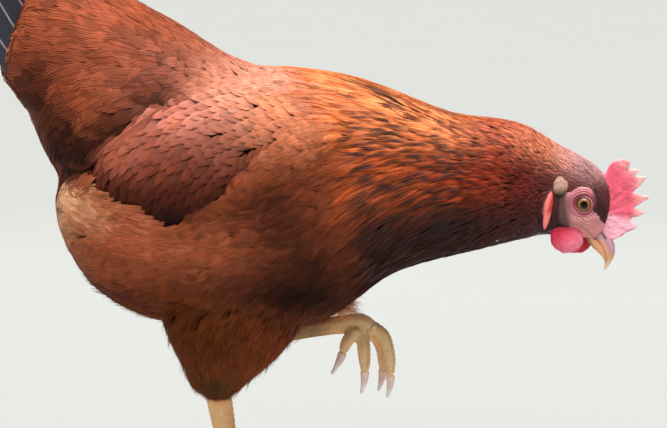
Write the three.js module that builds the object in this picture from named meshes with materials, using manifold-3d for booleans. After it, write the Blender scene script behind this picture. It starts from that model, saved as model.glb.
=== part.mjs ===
// A brown-red farm hen, life size, in millimetres: +X is forward, +Y her left side and +Z up.
// She walks with her head low. Her right foot carries her and her left one is lifted.

import * as THREE from 'three';
import { mergeVertices } from 'three/addons/utils/BufferGeometryUtils.js';
import Module from 'manifold-3d';

const wasm = await Module();
wasm.setup();

// ---- Driving dimensions ----

const seam = 0.3; // clearance between neighbouring pieces
const backHeight = 308; // top of the back above the floor
const bellyHeight = 121; // underside of the trunk
const trunkHalf = 82; // widest half width of the trunk and its feathers
const wingLift = 8; // how far the folded wing stands off the flank
const headPitch = THREE.MathUtils.degToRad(60); // how steeply the face points down
const eyeX = 239.7; // the eyes' place along the body
const eyeHeight = 211.4;
const eyeRadius = 7;
const eyeSide = 12.5; // eyeball centre to the mid plane
const combRoot = 3; // half thickness of the comb where it grows
const combTip = 1; // and at its points
const footX = -3; // middle of the standing foot
const footY = -1;
const toeRadius = 5;
const toeTaper = 0.3; // share of its thickness that a toe loses to its end
const clawLength = 13;
const raisedY = 27; // how far left the lifted foot hangs

// ---- Finishes ----

const finish = (color, roughness) => new THREE.MeshStandardMaterial({ color, roughness, metalness: 0 });
const rust = finish(0x96492d, 0.75);
const hackle = finish(0xb4502a, 0.6);
const darkWing = finish(0x874529, 0.7);
const tailBlack = finish(0x23262c, 0.5);
const faceSkin = finish(0xc06a66, 0.7);
const combSkin = finish(0xe0556a, 0.6);
const tanTuft = finish(0xb08466, 0.8);
const beakHorn = finish(0xd9a066, 0.45);
const eyeGlass = finish(0x8a5a22, 0.15);
const legScale = finish(0xd9a968, 0.6);
const clawHorn = finish(0xdcc3b4, 0.5);

// ---- Solids ----

const point = (x, y, z) => new THREE.Vector3(x, y, z);
const mid = (x, z) => point(x, 0, z);

// A place on the head: forward along the beak, up towards the comb, and out to the left.
function onHead(forward, up, side = 0) {
  const x = eyeX + forward * Math.cos(headPitch) + up * Math.sin(headPitch);
  const z = eyeHeight - forward * Math.sin(headPitch) + up * Math.cos(headPitch);
  return point(x, side, z);
}

function signedVolume(position, index) {
  const [a, b, c] = [point(), point(), point()];
  let total = 0;
  for (let i = 0; i < index.length; i += 3) {
    a.fromArray(position, index[i] * 3);
    b.fromArray(position, index[i + 1] * 3);
    c.fromArray(position, index[i + 2] * 3);
    total += a.dot(b.cross(c));
  }
  return total;
}

function solid(geometry) {
  geometry.deleteAttribute('normal');
  geometry.deleteAttribute('uv');
  const merged = mergeVertices(geometry, 1e-4);
  const vertProperties = new Float32Array(merged.attributes.position.array);
  const triVerts = new Uint32Array(merged.index.array);
  if (signedVolume(vertProperties, triVerts) < 0) triVerts.reverse();
  return new wasm.Manifold(new wasm.Mesh({ numProp: 3, vertProperties, triVerts }));
}

function geometryOf(body) {
  const { vertProperties, triVerts } = body.getMesh();
  const geometry = new THREE.BufferGeometry();
  geometry.setAttribute('position', new THREE.BufferAttribute(new Float32Array(vertProperties), 3));
  geometry.setIndex(new THREE.BufferAttribute(new Uint32Array(triVerts), 1));
  geometry.computeVertexNormals();
  return geometry;
}

// The same solid with every wall moved out by the clearance, to cut a neighbour with.
function grown(body, gap = seam) {
  const geometry = geometryOf(body);
  const { position, normal } = geometry.attributes;
  for (let i = 0; i < position.count; i++) {
    position.setXYZ(
      i,
      position.getX(i) + normal.getX(i) * gap,
      position.getY(i) + normal.getY(i) * gap,
      position.getZ(i) + normal.getZ(i) * gap,
    );
  }
  return solid(geometry);
}

const carved = (body, ...neighbours) => neighbours.reduce((rest, other) => rest.subtract(grown(other)), body);

// Everything on the far side of a plane through a point, as a block to cut away.
function beyond(at, normal) {
  const size = 2000;
  const block = new THREE.BoxGeometry(size, size, size);
  const along = normal.clone().normalize();
  const turn = new THREE.Quaternion().setFromUnitVectors(point(0, 0, 1), along);
  block.applyQuaternion(turn);
  block.translate(...at.clone().addScaledVector(along, size / 2).toArray());
  return solid(block);
}

// Parts a solid along a plane and leaves the clearance between the two halves.
function parted(body, at, normal) {
  const half = normal.clone().normalize().multiplyScalar(seam / 2);
  const front = body.subtract(beyond(at.clone().add(half), normal.clone().negate()));
  const back = body.subtract(beyond(at.clone().sub(half), normal));
  return [front, back];
}

// A ring of points is skinned to the next one, and each end is zipped shut across. Every ring
// has the same even number of points.
function skinned(rings) {
  const sides = rings[0].length;
  const index = [];
  for (let r = 0; r + 1 < rings.length; r++) {
    for (let s = 0; s < sides; s++) {
      const next = (s + 1) % sides;
      const [a, b] = [r * sides + s, r * sides + next];
      index.push(a, b, b + sides, a, b + sides, a + sides);
    }
  }
  for (const [base, turned] of [[0, true], [(rings.length - 1) * sides, false]]) {
    for (let s = 0; s < sides / 2 - 1; s++) {
      const [a, b, c, d] = [s, s + 1, sides - 2 - s, sides - 1 - s].map((k) => base + k);
      if (turned) index.push(a, c, b, a, d, c);
      else index.push(a, b, c, a, c, d);
    }
  }
  const geometry = new THREE.BufferGeometry();
  const flat = rings.flat().flatMap((p) => p.toArray());
  geometry.setAttribute('position', new THREE.Float32BufferAttribute(flat, 3));
  geometry.setIndex(index);
  return geometry;
}

// One cross-section of a loft: its top and bottom points, its half width, and the share of
// its height at which it is widest.
const section = (top, bottom, half, level = 0.5) => ({ top, bottom, half, level });

// Sections run through a smooth curve, with `rings` steps along it and `sides` round it.
function loft(sections, { rings = 24, sides = 20, fullness = 2.15 } = {}) {
  const rows = sections.map((s) => [...s.top.toArray(), ...s.bottom.toArray(), s.half, s.level]);
  const width = rows[0].length;
  const marks = rows.map((_, i) => i);
  const curve = new THREE.CubicInterpolant(marks, rows.flat(), width, new Float64Array(width));
  const at = (t) => {
    const row = Array.from(curve.evaluate(THREE.MathUtils.clamp(t, 0, rows.length - 1)));
    const [top, bottom] = [point().fromArray(row, 0), point().fromArray(row, 3)];
    return { top, bottom, half: row[6], level: row[7], centre: top.clone().lerp(bottom, 0.5) };
  };
  const power = 2 / fullness;
  const bow = (value) => Math.sign(value) * Math.abs(value) ** power;
  const loops = [];
  for (let r = 0; r <= rings; r++) {
    const t = (r / rings) * (rows.length - 1);
    const here = at(t);
    const travel = at(t + 0.05).centre.sub(at(t - 0.05).centre);
    const chord = here.top.clone().sub(here.bottom);
    const side = chord.clone().cross(travel).normalize();
    const waist = here.bottom.clone().addScaledVector(chord, here.level);
    const loop = [];
    for (let k = 0; k < sides; k++) {
      const angle = ((k + 0.5) / sides) * 2 * Math.PI - Math.PI / 2;
      const rise = bow(Math.sin(angle));
      const reach = rise > 0 ? 1 - here.level : here.level;
      const place = waist.clone().addScaledVector(chord, rise * reach);
      loop.push(place.addScaledVector(side, bow(Math.cos(angle)) * here.half));
    }
    loops.push(loop);
  }
  return solid(skinned(loops));
}

// A limb follows a path of joints, each with its half depth (towards `front`) and half width.
function limb(joints, front, options) {
  const path = new THREE.CatmullRomCurve3(joints.map((j) => j.at));
  const sections = joints.map((joint, i) => {
    const along = path.getTangent(i / (joints.length - 1));
    const face = front.clone().addScaledVector(along, -front.dot(along)).normalize();
    const top = joint.at.clone().addScaledVector(face, joint.deep);
    const bottom = joint.at.clone().addScaledVector(face, -joint.deep);
    return section(top, bottom, joint.wide);
  });
  return loft(sections, options);
}

const joint = (at, deep, wide = deep) => ({ at, deep, wide });

// A flattened lobe, from half sizes along X, Y and Z, turned in the mid plane.
function lobe(centre, [length, thick, height], turn, rows) {
  const geometry = new THREE.SphereGeometry(1, rows * 2, rows);
  geometry.scale(length, thick, height);
  geometry.rotateY(turn);
  geometry.translate(...centre.toArray());
  return solid(geometry);
}

// ---- Trunk, neck and head ----

const upright = (x, top, bottom, half, level) => section(mid(x, top), mid(x, bottom), half, level);

const spine = loft(
  [
    upright(-128.5, 214, 205, 5, 0.5),
    upright(-123.5, 231, 188, 28, 0.5),
    upright(-113, 247, 168, 46, 0.46),
    upright(-98, 264, 150, 60, 0.44),
    upright(-76, 283, 137, 71, 0.42),
    upright(-50, 298, 127, 78, 0.41),
    upright(-22, backHeight - 2.5, bellyHeight + 1, trunkHalf, 0.41),
    upright(6, backHeight, bellyHeight, trunkHalf, 0.41),
    upright(32, backHeight - 1, bellyHeight + 2, trunkHalf - 3, 0.42),
    upright(56, 304.5, 128.5, 73, 0.43),
    upright(78, 300.5, 142, 65, 0.44),
    upright(98, 294, 158, 56, 0.45),
    upright(120, 285.5, 168, 48, 0.47),
    upright(142, 276.5, 173.5, 42, 0.48),
    upright(164, 272, 178.5, 37, 0.48),
    upright(186, 270, 184, 32, 0.48),
    upright(204, 264.5, 188, 27, 0.5),
    section(mid(216, 256.5), mid(210.5, 189.3), 23.5),
    section(mid(226.5, 250.6), mid(214.5, 189.6), 21),
    section(mid(238, 244.6), mid(218.5, 189.8), 19.5),
    section(mid(248.5, 238), mid(224, 190.6), 18.6, 0.52),
    section(mid(256, 229), mid(230.5, 190.4), 17.4, 0.54),
    section(mid(258.6, 218), mid(236, 189.4), 15.4, 0.56),
    section(mid(258.4, 208.5), mid(240, 188.2), 12.4, 0.56),
    section(mid(256.5, 200), mid(243.6, 186.6), 9, 0.55),
    section(mid(254.5, 194.5), mid(247, 185.4), 6.4, 0.55),
  ],
  { rings: 36, sides: 22 },
);

// The saddle feathers and tail coverts sweep up and back out of the trunk.
const rump = loft(
  [
    section(mid(30, 302), mid(-6, 190), 50),
    section(mid(-8, 315.5), mid(-54, 196), 61),
    section(mid(-40, 336), mid(-102, 210), 60),
    section(mid(-72, 353.5), mid(-131, 238), 52),
    section(mid(-101, 370), mid(-146, 271), 42),
    section(mid(-125, 384), mid(-163, 297), 31),
    section(mid(-138, 379), mid(-167, 309), 18),
  ],
  { rings: 12, sides: 18 },
);

const flesh = spine.add(rump);

// ---- Legs ----

const ground = beyond(mid(0, 0), point(0, 0, -1));

// The feathered thigh is a cone from the flank to the hock, with its sections level.
function thigh(levels, side) {
  const sections = levels.map(([z, back, front, y, half]) => {
    return section(point(front, side * y, z), point(back, side * y, z), half);
  });
  return loft(sections, { rings: 9, sides: 14 });
}

const rightThigh = thigh(
  [
    [172, -58, 52, 36, 30],
    [150, -57, 50, 37, 33],
    [134, -54, 46, 36, 33],
    [119, -49, 37, 32, 30],
    [106, -42, 25, 26.5, 25],
    [97, -39.5, 15, 23, 20.5],
    [88, -36, 5.5, 19.5, 16],
    [81.5, -29.5, -1, 17.5, 11.5],
    [77.5, -24, -6, 16.5, 8],
  ],
  -1,
);
const leftThigh = thigh(
  [
    [172, -40, 62, 36, 28],
    [150, -28, 64, 38, 31],
    [134, -16, 58, 37, 29],
    [123, -11, 50, 34, 24],
    [114.5, -8, 40, 31, 18],
    [108, -5, 24, 29, 12],
    [104.5, -2, 10, 28, 7.5],
  ],
  1,
);

const rightShank = limb(
  [
    joint(point(-18, -18, 92), 9.5, 7.5),
    joint(point(-15.4, -16.6, 80), 9, 7.4),
    joint(point(-12.6, -13, 64), 8.4, 6.8),
    joint(point(-9.4, -9, 44), 7.1, 6.2),
    joint(point(-6.2, -5, 26), 6.8, 6.3),
    joint(point(-3.8, -2.2, 13), 8, 7.4),
    joint(point(footX, footY, 4.5), 7.6, 7.6),
    joint(point(footX + 0.5, footY, -0.5), 5.4, 5.6),
  ],
  point(1, 0, 0),
  { rings: 12, sides: 8 },
).subtract(ground);

const knuckle = point(86.5, raisedY, 123.5);
const leftShank = limb(
  [
    joint(point(6, raisedY + 1, 115), 8, 7),
    joint(point(20, raisedY + 1, 116.5), 7.6, 6.8),
    joint(point(42, raisedY, 119.6), 6.6, 6.2),
    joint(point(64, raisedY, 122.4), 6.2, 6.2),
    joint(point(78, raisedY, 124), 7, 7.2),
    joint(knuckle, 7.6, 7.8),
    joint(point(92.5, raisedY, 121), 5.4, 5.6),
  ],
  point(0, 0, 1),
  { rings: 10, sides: 8 },
);

// A toe thins from its root and swells a little at each of its pads.
function toe(path, pads, front) {
  const curve = new THREE.CatmullRomCurve3(path);
  const count = pads * 2 + 2;
  const joints = [];
  for (let i = 0; i < count; i++) {
    const t = i / (count - 1);
    const swell = 1 + 0.07 * Math.cos(2 * Math.PI * pads * t);
    const tip = t > 0.97 ? 0.62 : 1;
    const radius = toeRadius * (1 - toeTaper * t) * swell * tip;
    joints.push(joint(curve.getPoint(t), radius, radius * 0.94));
  }
  return limb(joints, front, { rings: count + 1, sides: 8 });
}

// A claw starts just clear of the toe's end and hooks over towards `hook`.
function claw(path, hook) {
  const curve = new THREE.CatmullRomCurve3(path);
  const end = curve.getPoint(1);
  const along = curve.getTangent(1);
  const joints = [0, 0.3, 0.65, 1].map((t) => {
    const at = end.clone().addScaledVector(along, seam * 1.5 + clawLength * t);
    at.addScaledVector(hook, 3.4 * t * t);
    return joint(at, 2.5 * (1 - 0.84 * t), 2 * (1 - 0.84 * t));
  });
  return limb(joints, hook.clone().negate(), { rings: 5, sides: 6 });
}

// On the standing foot the toes run out over the floor, each at its own heading, and their
// undersides are a little below it, to be cut to flat soles.
function floorToe(heading, length) {
  const turn = THREE.MathUtils.degToRad(heading);
  const way = point(Math.cos(turn), Math.sin(turn), 0);
  return [0, 0.25, 0.5, 0.75, 1].map((t) => {
    const height = (t === 0 ? 1.25 : 0.86) * toeRadius * (1 - toeTaper * t);
    return point(footX, footY, height).addScaledVector(way, THREE.MathUtils.lerp(3, length, t));
  });
}

const standingToes = [
  { path: floorToe(-176, 25), pads: 1 },
  { path: floorToe(36, 40), pads: 2 },
  { path: floorToe(-3, 57), pads: 3 },
  { path: floorToe(-43, 43), pads: 3 },
];
const hangingToes = [
  { path: [[81, -5, 119], [76.5, -8, 114.5], [73.5, -9.5, 109], [71.8, -10, 104]], pads: 1 },
  { path: [[86, -3, 120], [86.5, -7, 110], [87.3, -9, 99], [87.6, -9.5, 91]], pads: 2 },
  { path: [[90, 0, 123], [100.5, -1, 115.5], [104.8, -1, 102], [105.8, -0.5, 87]], pads: 3 },
  { path: [[89, 3, 121], [97, 8, 112], [100.5, 11, 101], [100.5, 12, 90]], pads: 3 },
].map(({ path, pads }) => ({ path: path.map(([x, y, z]) => point(x, raisedY + y, z)), pads }));

// ---- Wings ----

// The outermost place of the flank at a spot seen from the side.
const bodyMesh = new THREE.Mesh(geometryOf(flesh), rust);
function flankAt(x, z) {
  const ray = new THREE.Raycaster(point(x, 2 * trunkHalf, z), point(0, -1, 0));
  const [hit] = ray.intersectObject(bodyMesh);
  return hit ? hit.point.y : 0;
}

// The folded wing's edges: [along the body, lower edge, upper edge].
const wingEdges = [
  [-108, 229, 235],
  [-101, 221.5, 243.5],
  [-84, 212.5, 258.5],
  [-60, 200.5, 277.5],
  [-34, 194.5, 290.5],
  [-12, 202, 294.5],
  [10, 214.5, 295.5],
  [34, 225, 293],
  [54, 238, 287.5],
  [68, 254, 279],
  [73, 264, 270],
];

function foldedWing(side) {
  const rows = 12;
  const columns = 6;
  const marks = wingEdges.map((_, i) => i);
  const curve = new THREE.CubicInterpolant(marks, wingEdges.flat(), 3, new Float64Array(3));
  const spots = [];
  for (let r = 0; r <= rows; r++) {
    const [x, low, high] = curve.evaluate((r / rows) * (wingEdges.length - 1));
    spots.push([]);
    for (let c = 0; c <= columns; c++) {
      const z = THREE.MathUtils.lerp(low, high, c / columns);
      const across = Math.sin((Math.PI * c) / columns);
      const along = Math.sin(Math.PI * Math.min(1, (r + 0.6) / (rows * 0.7 + 0.6)) * 0.5);
      const front = Math.sin(Math.PI * Math.min(1, ((rows - r + 0.4) / rows) * 2) * 0.5);
      spots[r].push({ x, z, y: flankAt(x, z), lift: 1.4 + wingLift * across ** 0.6 * along * front });
    }
  }
  // The creases of the flank are bridged, as the wing's feathers bridge them.
  for (let pass = 0; pass < 3; pass++) {
    for (let r = 1; r < rows; r++) {
      for (let c = 1; c < columns; c++) {
        const around = [spots[r - 1][c], spots[r + 1][c], spots[r][c - 1], spots[r][c + 1]];
        const mean = around.reduce((sum, spot) => sum + spot.y, 0) / around.length;
        spots[r][c].y = Math.max(spots[r][c].y, mean);
      }
    }
  }
  const rings = spots.map((row) => {
    const outer = row.map((s) => point(s.x, side * (s.y + s.lift), s.z));
    const inner = row.map((s) => point(s.x, side * (s.y - 6), s.z)).reverse();
    return [...outer, ...inner];
  });
  return solid(skinned(rings));
}

// ---- Tail ----

// The main tail feathers stand as a tent: a ridge along the top, and two sloping sides.
function tailFan() {
  const stages = [
    { ridge: mid(-112, 366), foot: mid(-146, 290), spread: 16 },
    { ridge: mid(-122, 392), foot: mid(-163, 312), spread: 22 },
    { ridge: mid(-136, 420), foot: mid(-182, 343), spread: 28 },
    { ridge: mid(-149, 439), foot: mid(-194, 368), spread: 31 },
    { ridge: mid(-162, 444), foot: mid(-199, 384), spread: 27 },
    { ridge: mid(-176, 438), foot: mid(-197, 401), spread: 15 },
  ];
  const sides = 6;
  const wall = 7; // thickness of the overlapped feathers
  const rings = stages.map(({ ridge, foot, spread }) => {
    const drop = foot.clone().sub(ridge);
    const depth = drop.length();
    const tent = (share, inset) => {
      const reach = Math.abs(share);
      const fall = Math.max(0, 1 - inset / depth) * reach ** 1.4;
      const place = ridge.clone().addScaledVector(drop, fall);
      place.addScaledVector(drop, (inset / depth) * (1 - reach));
      place.y = Math.sign(share) * (1 - (1 - reach) ** 1.5) * (spread - inset * 0.55);
      return place;
    };
    const outer = [];
    for (let k = 0; k <= sides; k++) outer.push(tent((k / sides) * 2 - 1, 0));
    const inner = [];
    for (let k = sides; k >= 0; k--) inner.push(tent((k / sides) * 2 - 1, wall));
    return [...outer, ...inner];
  });
  return solid(skinned(rings));
}

// ---- Comb, beak and the small parts of the head ----

// Each point of the comb from the back forward: where it ends, the notch after it, and how far
// the edge between them bellies out.
const combPoints = [
  { tip: [-7.9, 43.8], notch: [-4.6, 39.6], belly: 0.3 },
  { tip: [0.1, 46.4], notch: [1.6, 39.5], belly: 0.3 },
  { tip: [6.6, 49], notch: [11.2, 32.6], belly: 2.4 },
  { tip: [20.3, 43.8], notch: [20.6, 28.2], belly: 0.8 },
  { tip: [27.8, 34.8], notch: [26.2, 22.4], belly: 0.8 },
  { tip: [33.6, 25.8], notch: [33.4, 15.8], belly: 0.8 },
];

function comb() {
  const outline = new THREE.Shape();
  outline.moveTo(20, 0);
  outline.lineTo(-7, 16);
  outline.lineTo(-10.4, 26);
  outline.quadraticCurveTo(-14.6, 29.6, -14.4, 34.2);
  outline.quadraticCurveTo(-13.6, 38.6, -11.4, 41);
  for (const { tip, notch, belly } of combPoints) {
    const [startX, startY] = outline.currentPoint.toArray();
    outline.quadraticCurveTo((startX + tip[0]) / 2 - 0.4, (startY + tip[1]) / 2 + 0.4, ...tip);
    outline.quadraticCurveTo((tip[0] + notch[0]) / 2 + belly, (tip[1] + notch[1]) / 2, ...notch);
  }
  outline.lineTo(33.6, 5.6);
  outline.lineTo(28, 2.5);
  const plate = { depth: 2, steps: 1, curveSegments: 2, bevelEnabled: false };
  const geometry = new THREE.ExtrudeGeometry(outline, plate);
  const position = geometry.attributes.position;
  for (let i = 0; i < position.count; i++) {
    const [forward, up] = [position.getX(i), position.getY(i)];
    const rootUp = 24 - forward * 0.55;
    const rise = THREE.MathUtils.clamp((up - rootUp) / 24, 0, 1);
    const side = (position.getZ(i) - 1) * THREE.MathUtils.lerp(combRoot, combTip, rise);
    position.setXYZ(i, ...onHead(forward, up, side).toArray());
  }
  return solid(geometry);
}

const onBeak = ([forward, top, bottom, half], level) =>
  section(onHead(forward, top), onHead(forward + 0.6, bottom), half, level);

const upperBeak = loft(
  [
    [17, 3, -5.6, 6],
    [24, 4.8, -5, 6.2],
    [30, 5.8, -3.9, 5.6],
    [35, 5.6, -3.7, 4.8],
    [39.5, 4, -4.8, 3.9],
    [43.5, 0.9, -6.8, 2.9],
    [46.6, -3.8, -9, 1.8],
    [48.4, -8.4, -10.4, 0.8],
  ].map((row) => onBeak(row, 0.35)),
  { rings: 9, sides: 8 },
);
const lowerBeak = loft(
  [
    [16, -7.4, -11, 5.2],
    [22, -6.3, -10.6, 5.2],
    [28, -4.9, -9.6, 4.6],
    [34, -4.3, -8.9, 3.6],
    [39, -5.6, -8.9, 2.6],
    [43.4, -8.3, -9.9, 1.2],
  ].map((row) => onBeak(row, 0.7)),
  { rings: 7, sides: 10 },
);

const eyeball = (side) => {
  const geometry = new THREE.SphereGeometry(eyeRadius, 12, 8);
  geometry.rotateX(Math.PI / 2);
  geometry.translate(...onHead(0, 0, side * eyeSide).toArray());
  return solid(geometry);
};

// The far wattle swings forward of the near one as she steps.
function wattle(side) {
  const swing = side > 0 ? 7.5 : 0;
  return lobe(point(228.2 + swing, side * 9.5, 187.2 - swing * 0.2), [12.2, 3.6, 10.8], 0.25, 6);
}

const earLobe = (side) => lobe(point(214.4, side * 23, 207), [2.7, 2.6, 13.5], 0.2, 6);
const earTuft = (side) => lobe(point(223.6, side * 18.9, 223), [6.1, 4.6, 8.4], 0.1, 6);

// ---- Parting and assembly ----

const [foreBody, trunkAndRump] = parted(flesh, mid(84, 234), point(141, 0, 42));
const [headPart, neckPart] = parted(foreBody, mid(213.5, 226), point(77, 0, 17));
const [rumpPart, trunkPart] = parted(trunkAndRump, mid(-75, 265), point(-0.64, 0, 0.77));
const sides = [
  { name: 'right', side: -1 },
  { name: 'left', side: 1 },
];

const hen = new THREE.Group();
const mainBody = new THREE.Group();
const headGroup = new THREE.Group();
const legGroup = new THREE.Group();
hen.add(mainBody, headGroup, legGroup);

function place(group, name, body, material) {
  const mesh = new THREE.Mesh(geometryOf(body), material);
  mesh.name = name;
  group.add(mesh);
}

const eyes = sides.map(({ side }) => eyeball(side));
const skull = eyes.reduce((rest, eye) => rest.subtract(grown(eye)), headPart);
const crest = carved(comb(), flesh);
const bill = carved(upperBeak, flesh, crest);
place(mainBody, 'trunk', trunkPart, rust);
place(mainBody, 'neck', neckPart, hackle);
place(mainBody, 'rump', rumpPart, rust);
place(mainBody, 'tail', carved(tailFan(), flesh), tailBlack);
place(headGroup, 'head', skull, faceSkin);
place(headGroup, 'comb', crest, combSkin);
place(headGroup, 'beak_upper', bill, beakHorn);
place(headGroup, 'beak_lower', carved(lowerBeak, flesh, upperBeak), beakHorn);

const standing = { thigh: rightThigh, shank: rightShank, toes: standingToes, front: point(0, 0, 1) };
const lifted = { thigh: leftThigh, shank: leftShank, toes: hangingToes, front: point(0.95, 0, 0.3) };

sides.forEach(({ name, side }, i) => {
  const leg = side < 0 ? standing : lifted;
  const hook = side < 0 ? point(0, 0, -1) : point(-0.9, 0, -0.4);
  const wing = carved(foldedWing(side), flesh);
  const wattleRoot = carved(wattle(side), flesh, lowerBeak, upperBeak);
  place(mainBody, `wing_${name}`, wing, darkWing);
  place(headGroup, `eye_${name}`, eyes[i], eyeGlass);
  place(headGroup, `wattle_${name}`, wattleRoot, combSkin);
  place(headGroup, `earlobe_${name}`, carved(earLobe(side), flesh), combSkin);
  place(headGroup, `ear_${name}`, carved(earTuft(side), flesh), tanTuft);
  const thighPart = carved(leg.thigh, flesh, wing);
  place(legGroup, `thigh_${name}`, thighPart, rust);
  const shankPart = carved(leg.shank, flesh, leg.thigh);
  place(legGroup, `shank_${name}`, shankPart, legScale);
  const laid = [];
  leg.toes.forEach(({ path, pads }, k) => {
    const whole = toe(path, pads, leg.front).subtract(ground);
    const toePart = carved(whole, leg.shank, ...laid);
    const clawPart = claw(path, hook).subtract(ground);
    place(legGroup, `toe_${name}_${k + 1}`, toePart, legScale);
    place(legGroup, `claw_${name}_${k + 1}`, clawPart, clawHorn);
    laid.push(whole);
  });
});

// The origin lies on the floor under the middle of the whole bird.
hen.updateMatrixWorld(true);
const extent = new THREE.Box3().setFromObject(hen);
const centre = extent.getCenter(point());
for (const group of hen.children) group.position.set(-centre.x, -centre.y, -extent.min.z);

export default hen;
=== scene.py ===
import math

import bmesh
import bpy
import numpy as np
from mathutils import Matrix, Vector, noise
from mathutils.bvhtree import BVHTree
from mathutils.kdtree import KDTree


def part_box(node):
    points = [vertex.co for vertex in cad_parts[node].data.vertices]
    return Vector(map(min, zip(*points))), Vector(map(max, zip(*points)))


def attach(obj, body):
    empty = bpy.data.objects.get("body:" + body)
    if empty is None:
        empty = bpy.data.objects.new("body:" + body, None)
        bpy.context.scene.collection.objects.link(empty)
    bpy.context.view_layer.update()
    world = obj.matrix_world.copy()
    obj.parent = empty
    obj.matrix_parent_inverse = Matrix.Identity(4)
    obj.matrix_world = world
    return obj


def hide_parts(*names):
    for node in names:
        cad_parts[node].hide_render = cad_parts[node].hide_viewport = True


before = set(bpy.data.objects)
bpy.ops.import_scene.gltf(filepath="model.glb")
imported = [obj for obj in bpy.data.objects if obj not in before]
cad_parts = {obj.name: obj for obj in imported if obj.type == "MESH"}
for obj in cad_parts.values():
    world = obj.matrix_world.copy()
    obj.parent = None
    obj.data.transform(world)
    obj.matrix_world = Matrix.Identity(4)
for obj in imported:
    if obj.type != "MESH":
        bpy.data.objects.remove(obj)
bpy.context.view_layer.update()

# A brown-red farm hen, life size. She faces +X, her left side is +Y, and the floor is z = 0.
mm = 0.001
sides = {"right": -1, "left": 1}
weld = 1e-6  # points nearer than this are one
darkest = 0.002  # no dye is darker


# shapes and pieces

def pieceOf(mesh, name, smooth=True):
    if smooth:
        mesh.shade_smooth()
    piece = bpy.data.objects.new(name, mesh)
    bpy.context.scene.collection.objects.link(piece)
    return piece


def pieceFrom(shape, name, smooth=True):
    mesh = bpy.data.meshes.new(name)
    shape.to_mesh(mesh)
    shape.free()
    return pieceOf(mesh, name, smooth)


def readAll(items, key, width=1, kind=np.int32):
    # one property of all of a mesh's items, as a flat array
    raw = np.zeros(len(items) * width, kind)
    items.foreach_get(key, raw)
    return raw


def putDye(mesh, colours):
    # the colour that each point of a mesh carries
    whole = np.column_stack([np.clip(colours, darkest, 1), np.ones(len(colours))])
    layer = mesh.attributes.new("dye", "FLOAT_COLOR", "POINT")
    layer.data.foreach_set("color", whole.astype(np.float32).ravel())


def settle(piece, slot, *replaced):
    # nothing sinks below the floor
    raw = readAll(piece.data.vertices, "co", 3, np.float32)
    raw[2::3] = np.maximum(raw[2::3], 0)
    piece.data.vertices.foreach_set("co", raw)
    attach(piece, "root")
    if replaced:
        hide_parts(*replaced)


def cadCopy(*names, grow=0.0):
    shape = bmesh.new()
    for name in names:
        shape.from_mesh(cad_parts[name].data)
    bmesh.ops.remove_doubles(shape, verts=shape.verts, dist=weld)
    shape.normal_update()
    for vert in shape.verts:
        vert.co += vert.normal * grow
    return shape


def applied(shape, kind, settings):
    piece = pieceFrom(shape, "draft", smooth=False)
    modifier = piece.modifiers.new("draft", kind)
    for key, value in settings.items():
        setattr(modifier, key, value)
    graph = bpy.context.evaluated_depsgraph_get()
    done = bmesh.new()
    done.from_mesh(piece.evaluated_get(graph).to_mesh())
    bpy.data.objects.remove(piece)
    return done


def smoothed(shape, passes, verts=None):
    chosen = list(shape.verts) if verts is None else verts
    everyWay = {"use_axis_x": True, "use_axis_y": True, "use_axis_z": True}
    for _ in range(passes):
        bmesh.ops.smooth_vert(shape, verts=chosen, factor=0.5, **everyWay)
    shape.normal_update()
    return shape


def voxelled(shape, size, passes=0):
    return smoothed(applied(shape, "REMESH", {"mode": "VOXEL", "voxel_size": size}), passes)


def keepFrom(shape, at, way):
    # keeps what lies on the side that `way` points to, and closes the cut
    everything = list(shape.verts) + list(shape.edges) + list(shape.faces)
    bmesh.ops.bisect_plane(shape, geom=everything, plane_co=at, plane_no=way, clear_inner=True)
    rim = [edge for edge in shape.edges if edge.is_boundary]
    bmesh.ops.holes_fill(shape, edges=rim, sides=0)
    return shape


def placesOf(shape):
    return np.array([v.co for v in shape.verts])


def normalsOf(shape):
    return np.array([v.normal for v in shape.verts])


def putPlaces(shape, places):
    for vert, place in zip(shape.verts, places.tolist()):
        vert.co = place
    shape.normal_update()


def unit(vectors):
    return vectors / np.maximum(np.linalg.norm(vectors, axis=-1, keepdims=True), 1e-12)


def dot(a, b):
    return (a * b).sum(-1, keepdims=True)


def ease(value, low, high):
    share = np.clip((np.asarray(value, float) - low) / (high - low), 0, 1)
    return share * share * (3 - 2 * share)


def blend(a, b, share):
    return a + (b - a) * share


def tinted(dyes, colour, share):
    # each row of dyes passes to the colour by its own share
    return blend(dyes, colour, share[:, None])


def grain(places, size, shift=0.0):
    offset = Vector((shift * 7.1, shift * 3.3, shift * 5.7))
    return np.array([noise.noise(Vector(p) / size + offset) for p in places.tolist()])


def wave(run, gap):
    return np.cos(run * 2 * np.pi / gap)


def segmentDistance(flat, start, end):
    start, end = np.array(start), np.array(end)
    way = end - start
    share = np.clip(((flat - start) @ way) / (way @ way), 0, 1)
    return np.linalg.norm(flat - start - share[:, None] * way, axis=1)


def toLine(flat, line):
    return np.min([segmentDistance(flat, a, b) for a, b in zip(line[:-1], line[1:])], axis=0)


def outwardOf(places, normals):
    # 1 where a surface faces straight out to its own side of the bird
    return normals[:, 1] * np.sign(places[:, 1])


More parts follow.
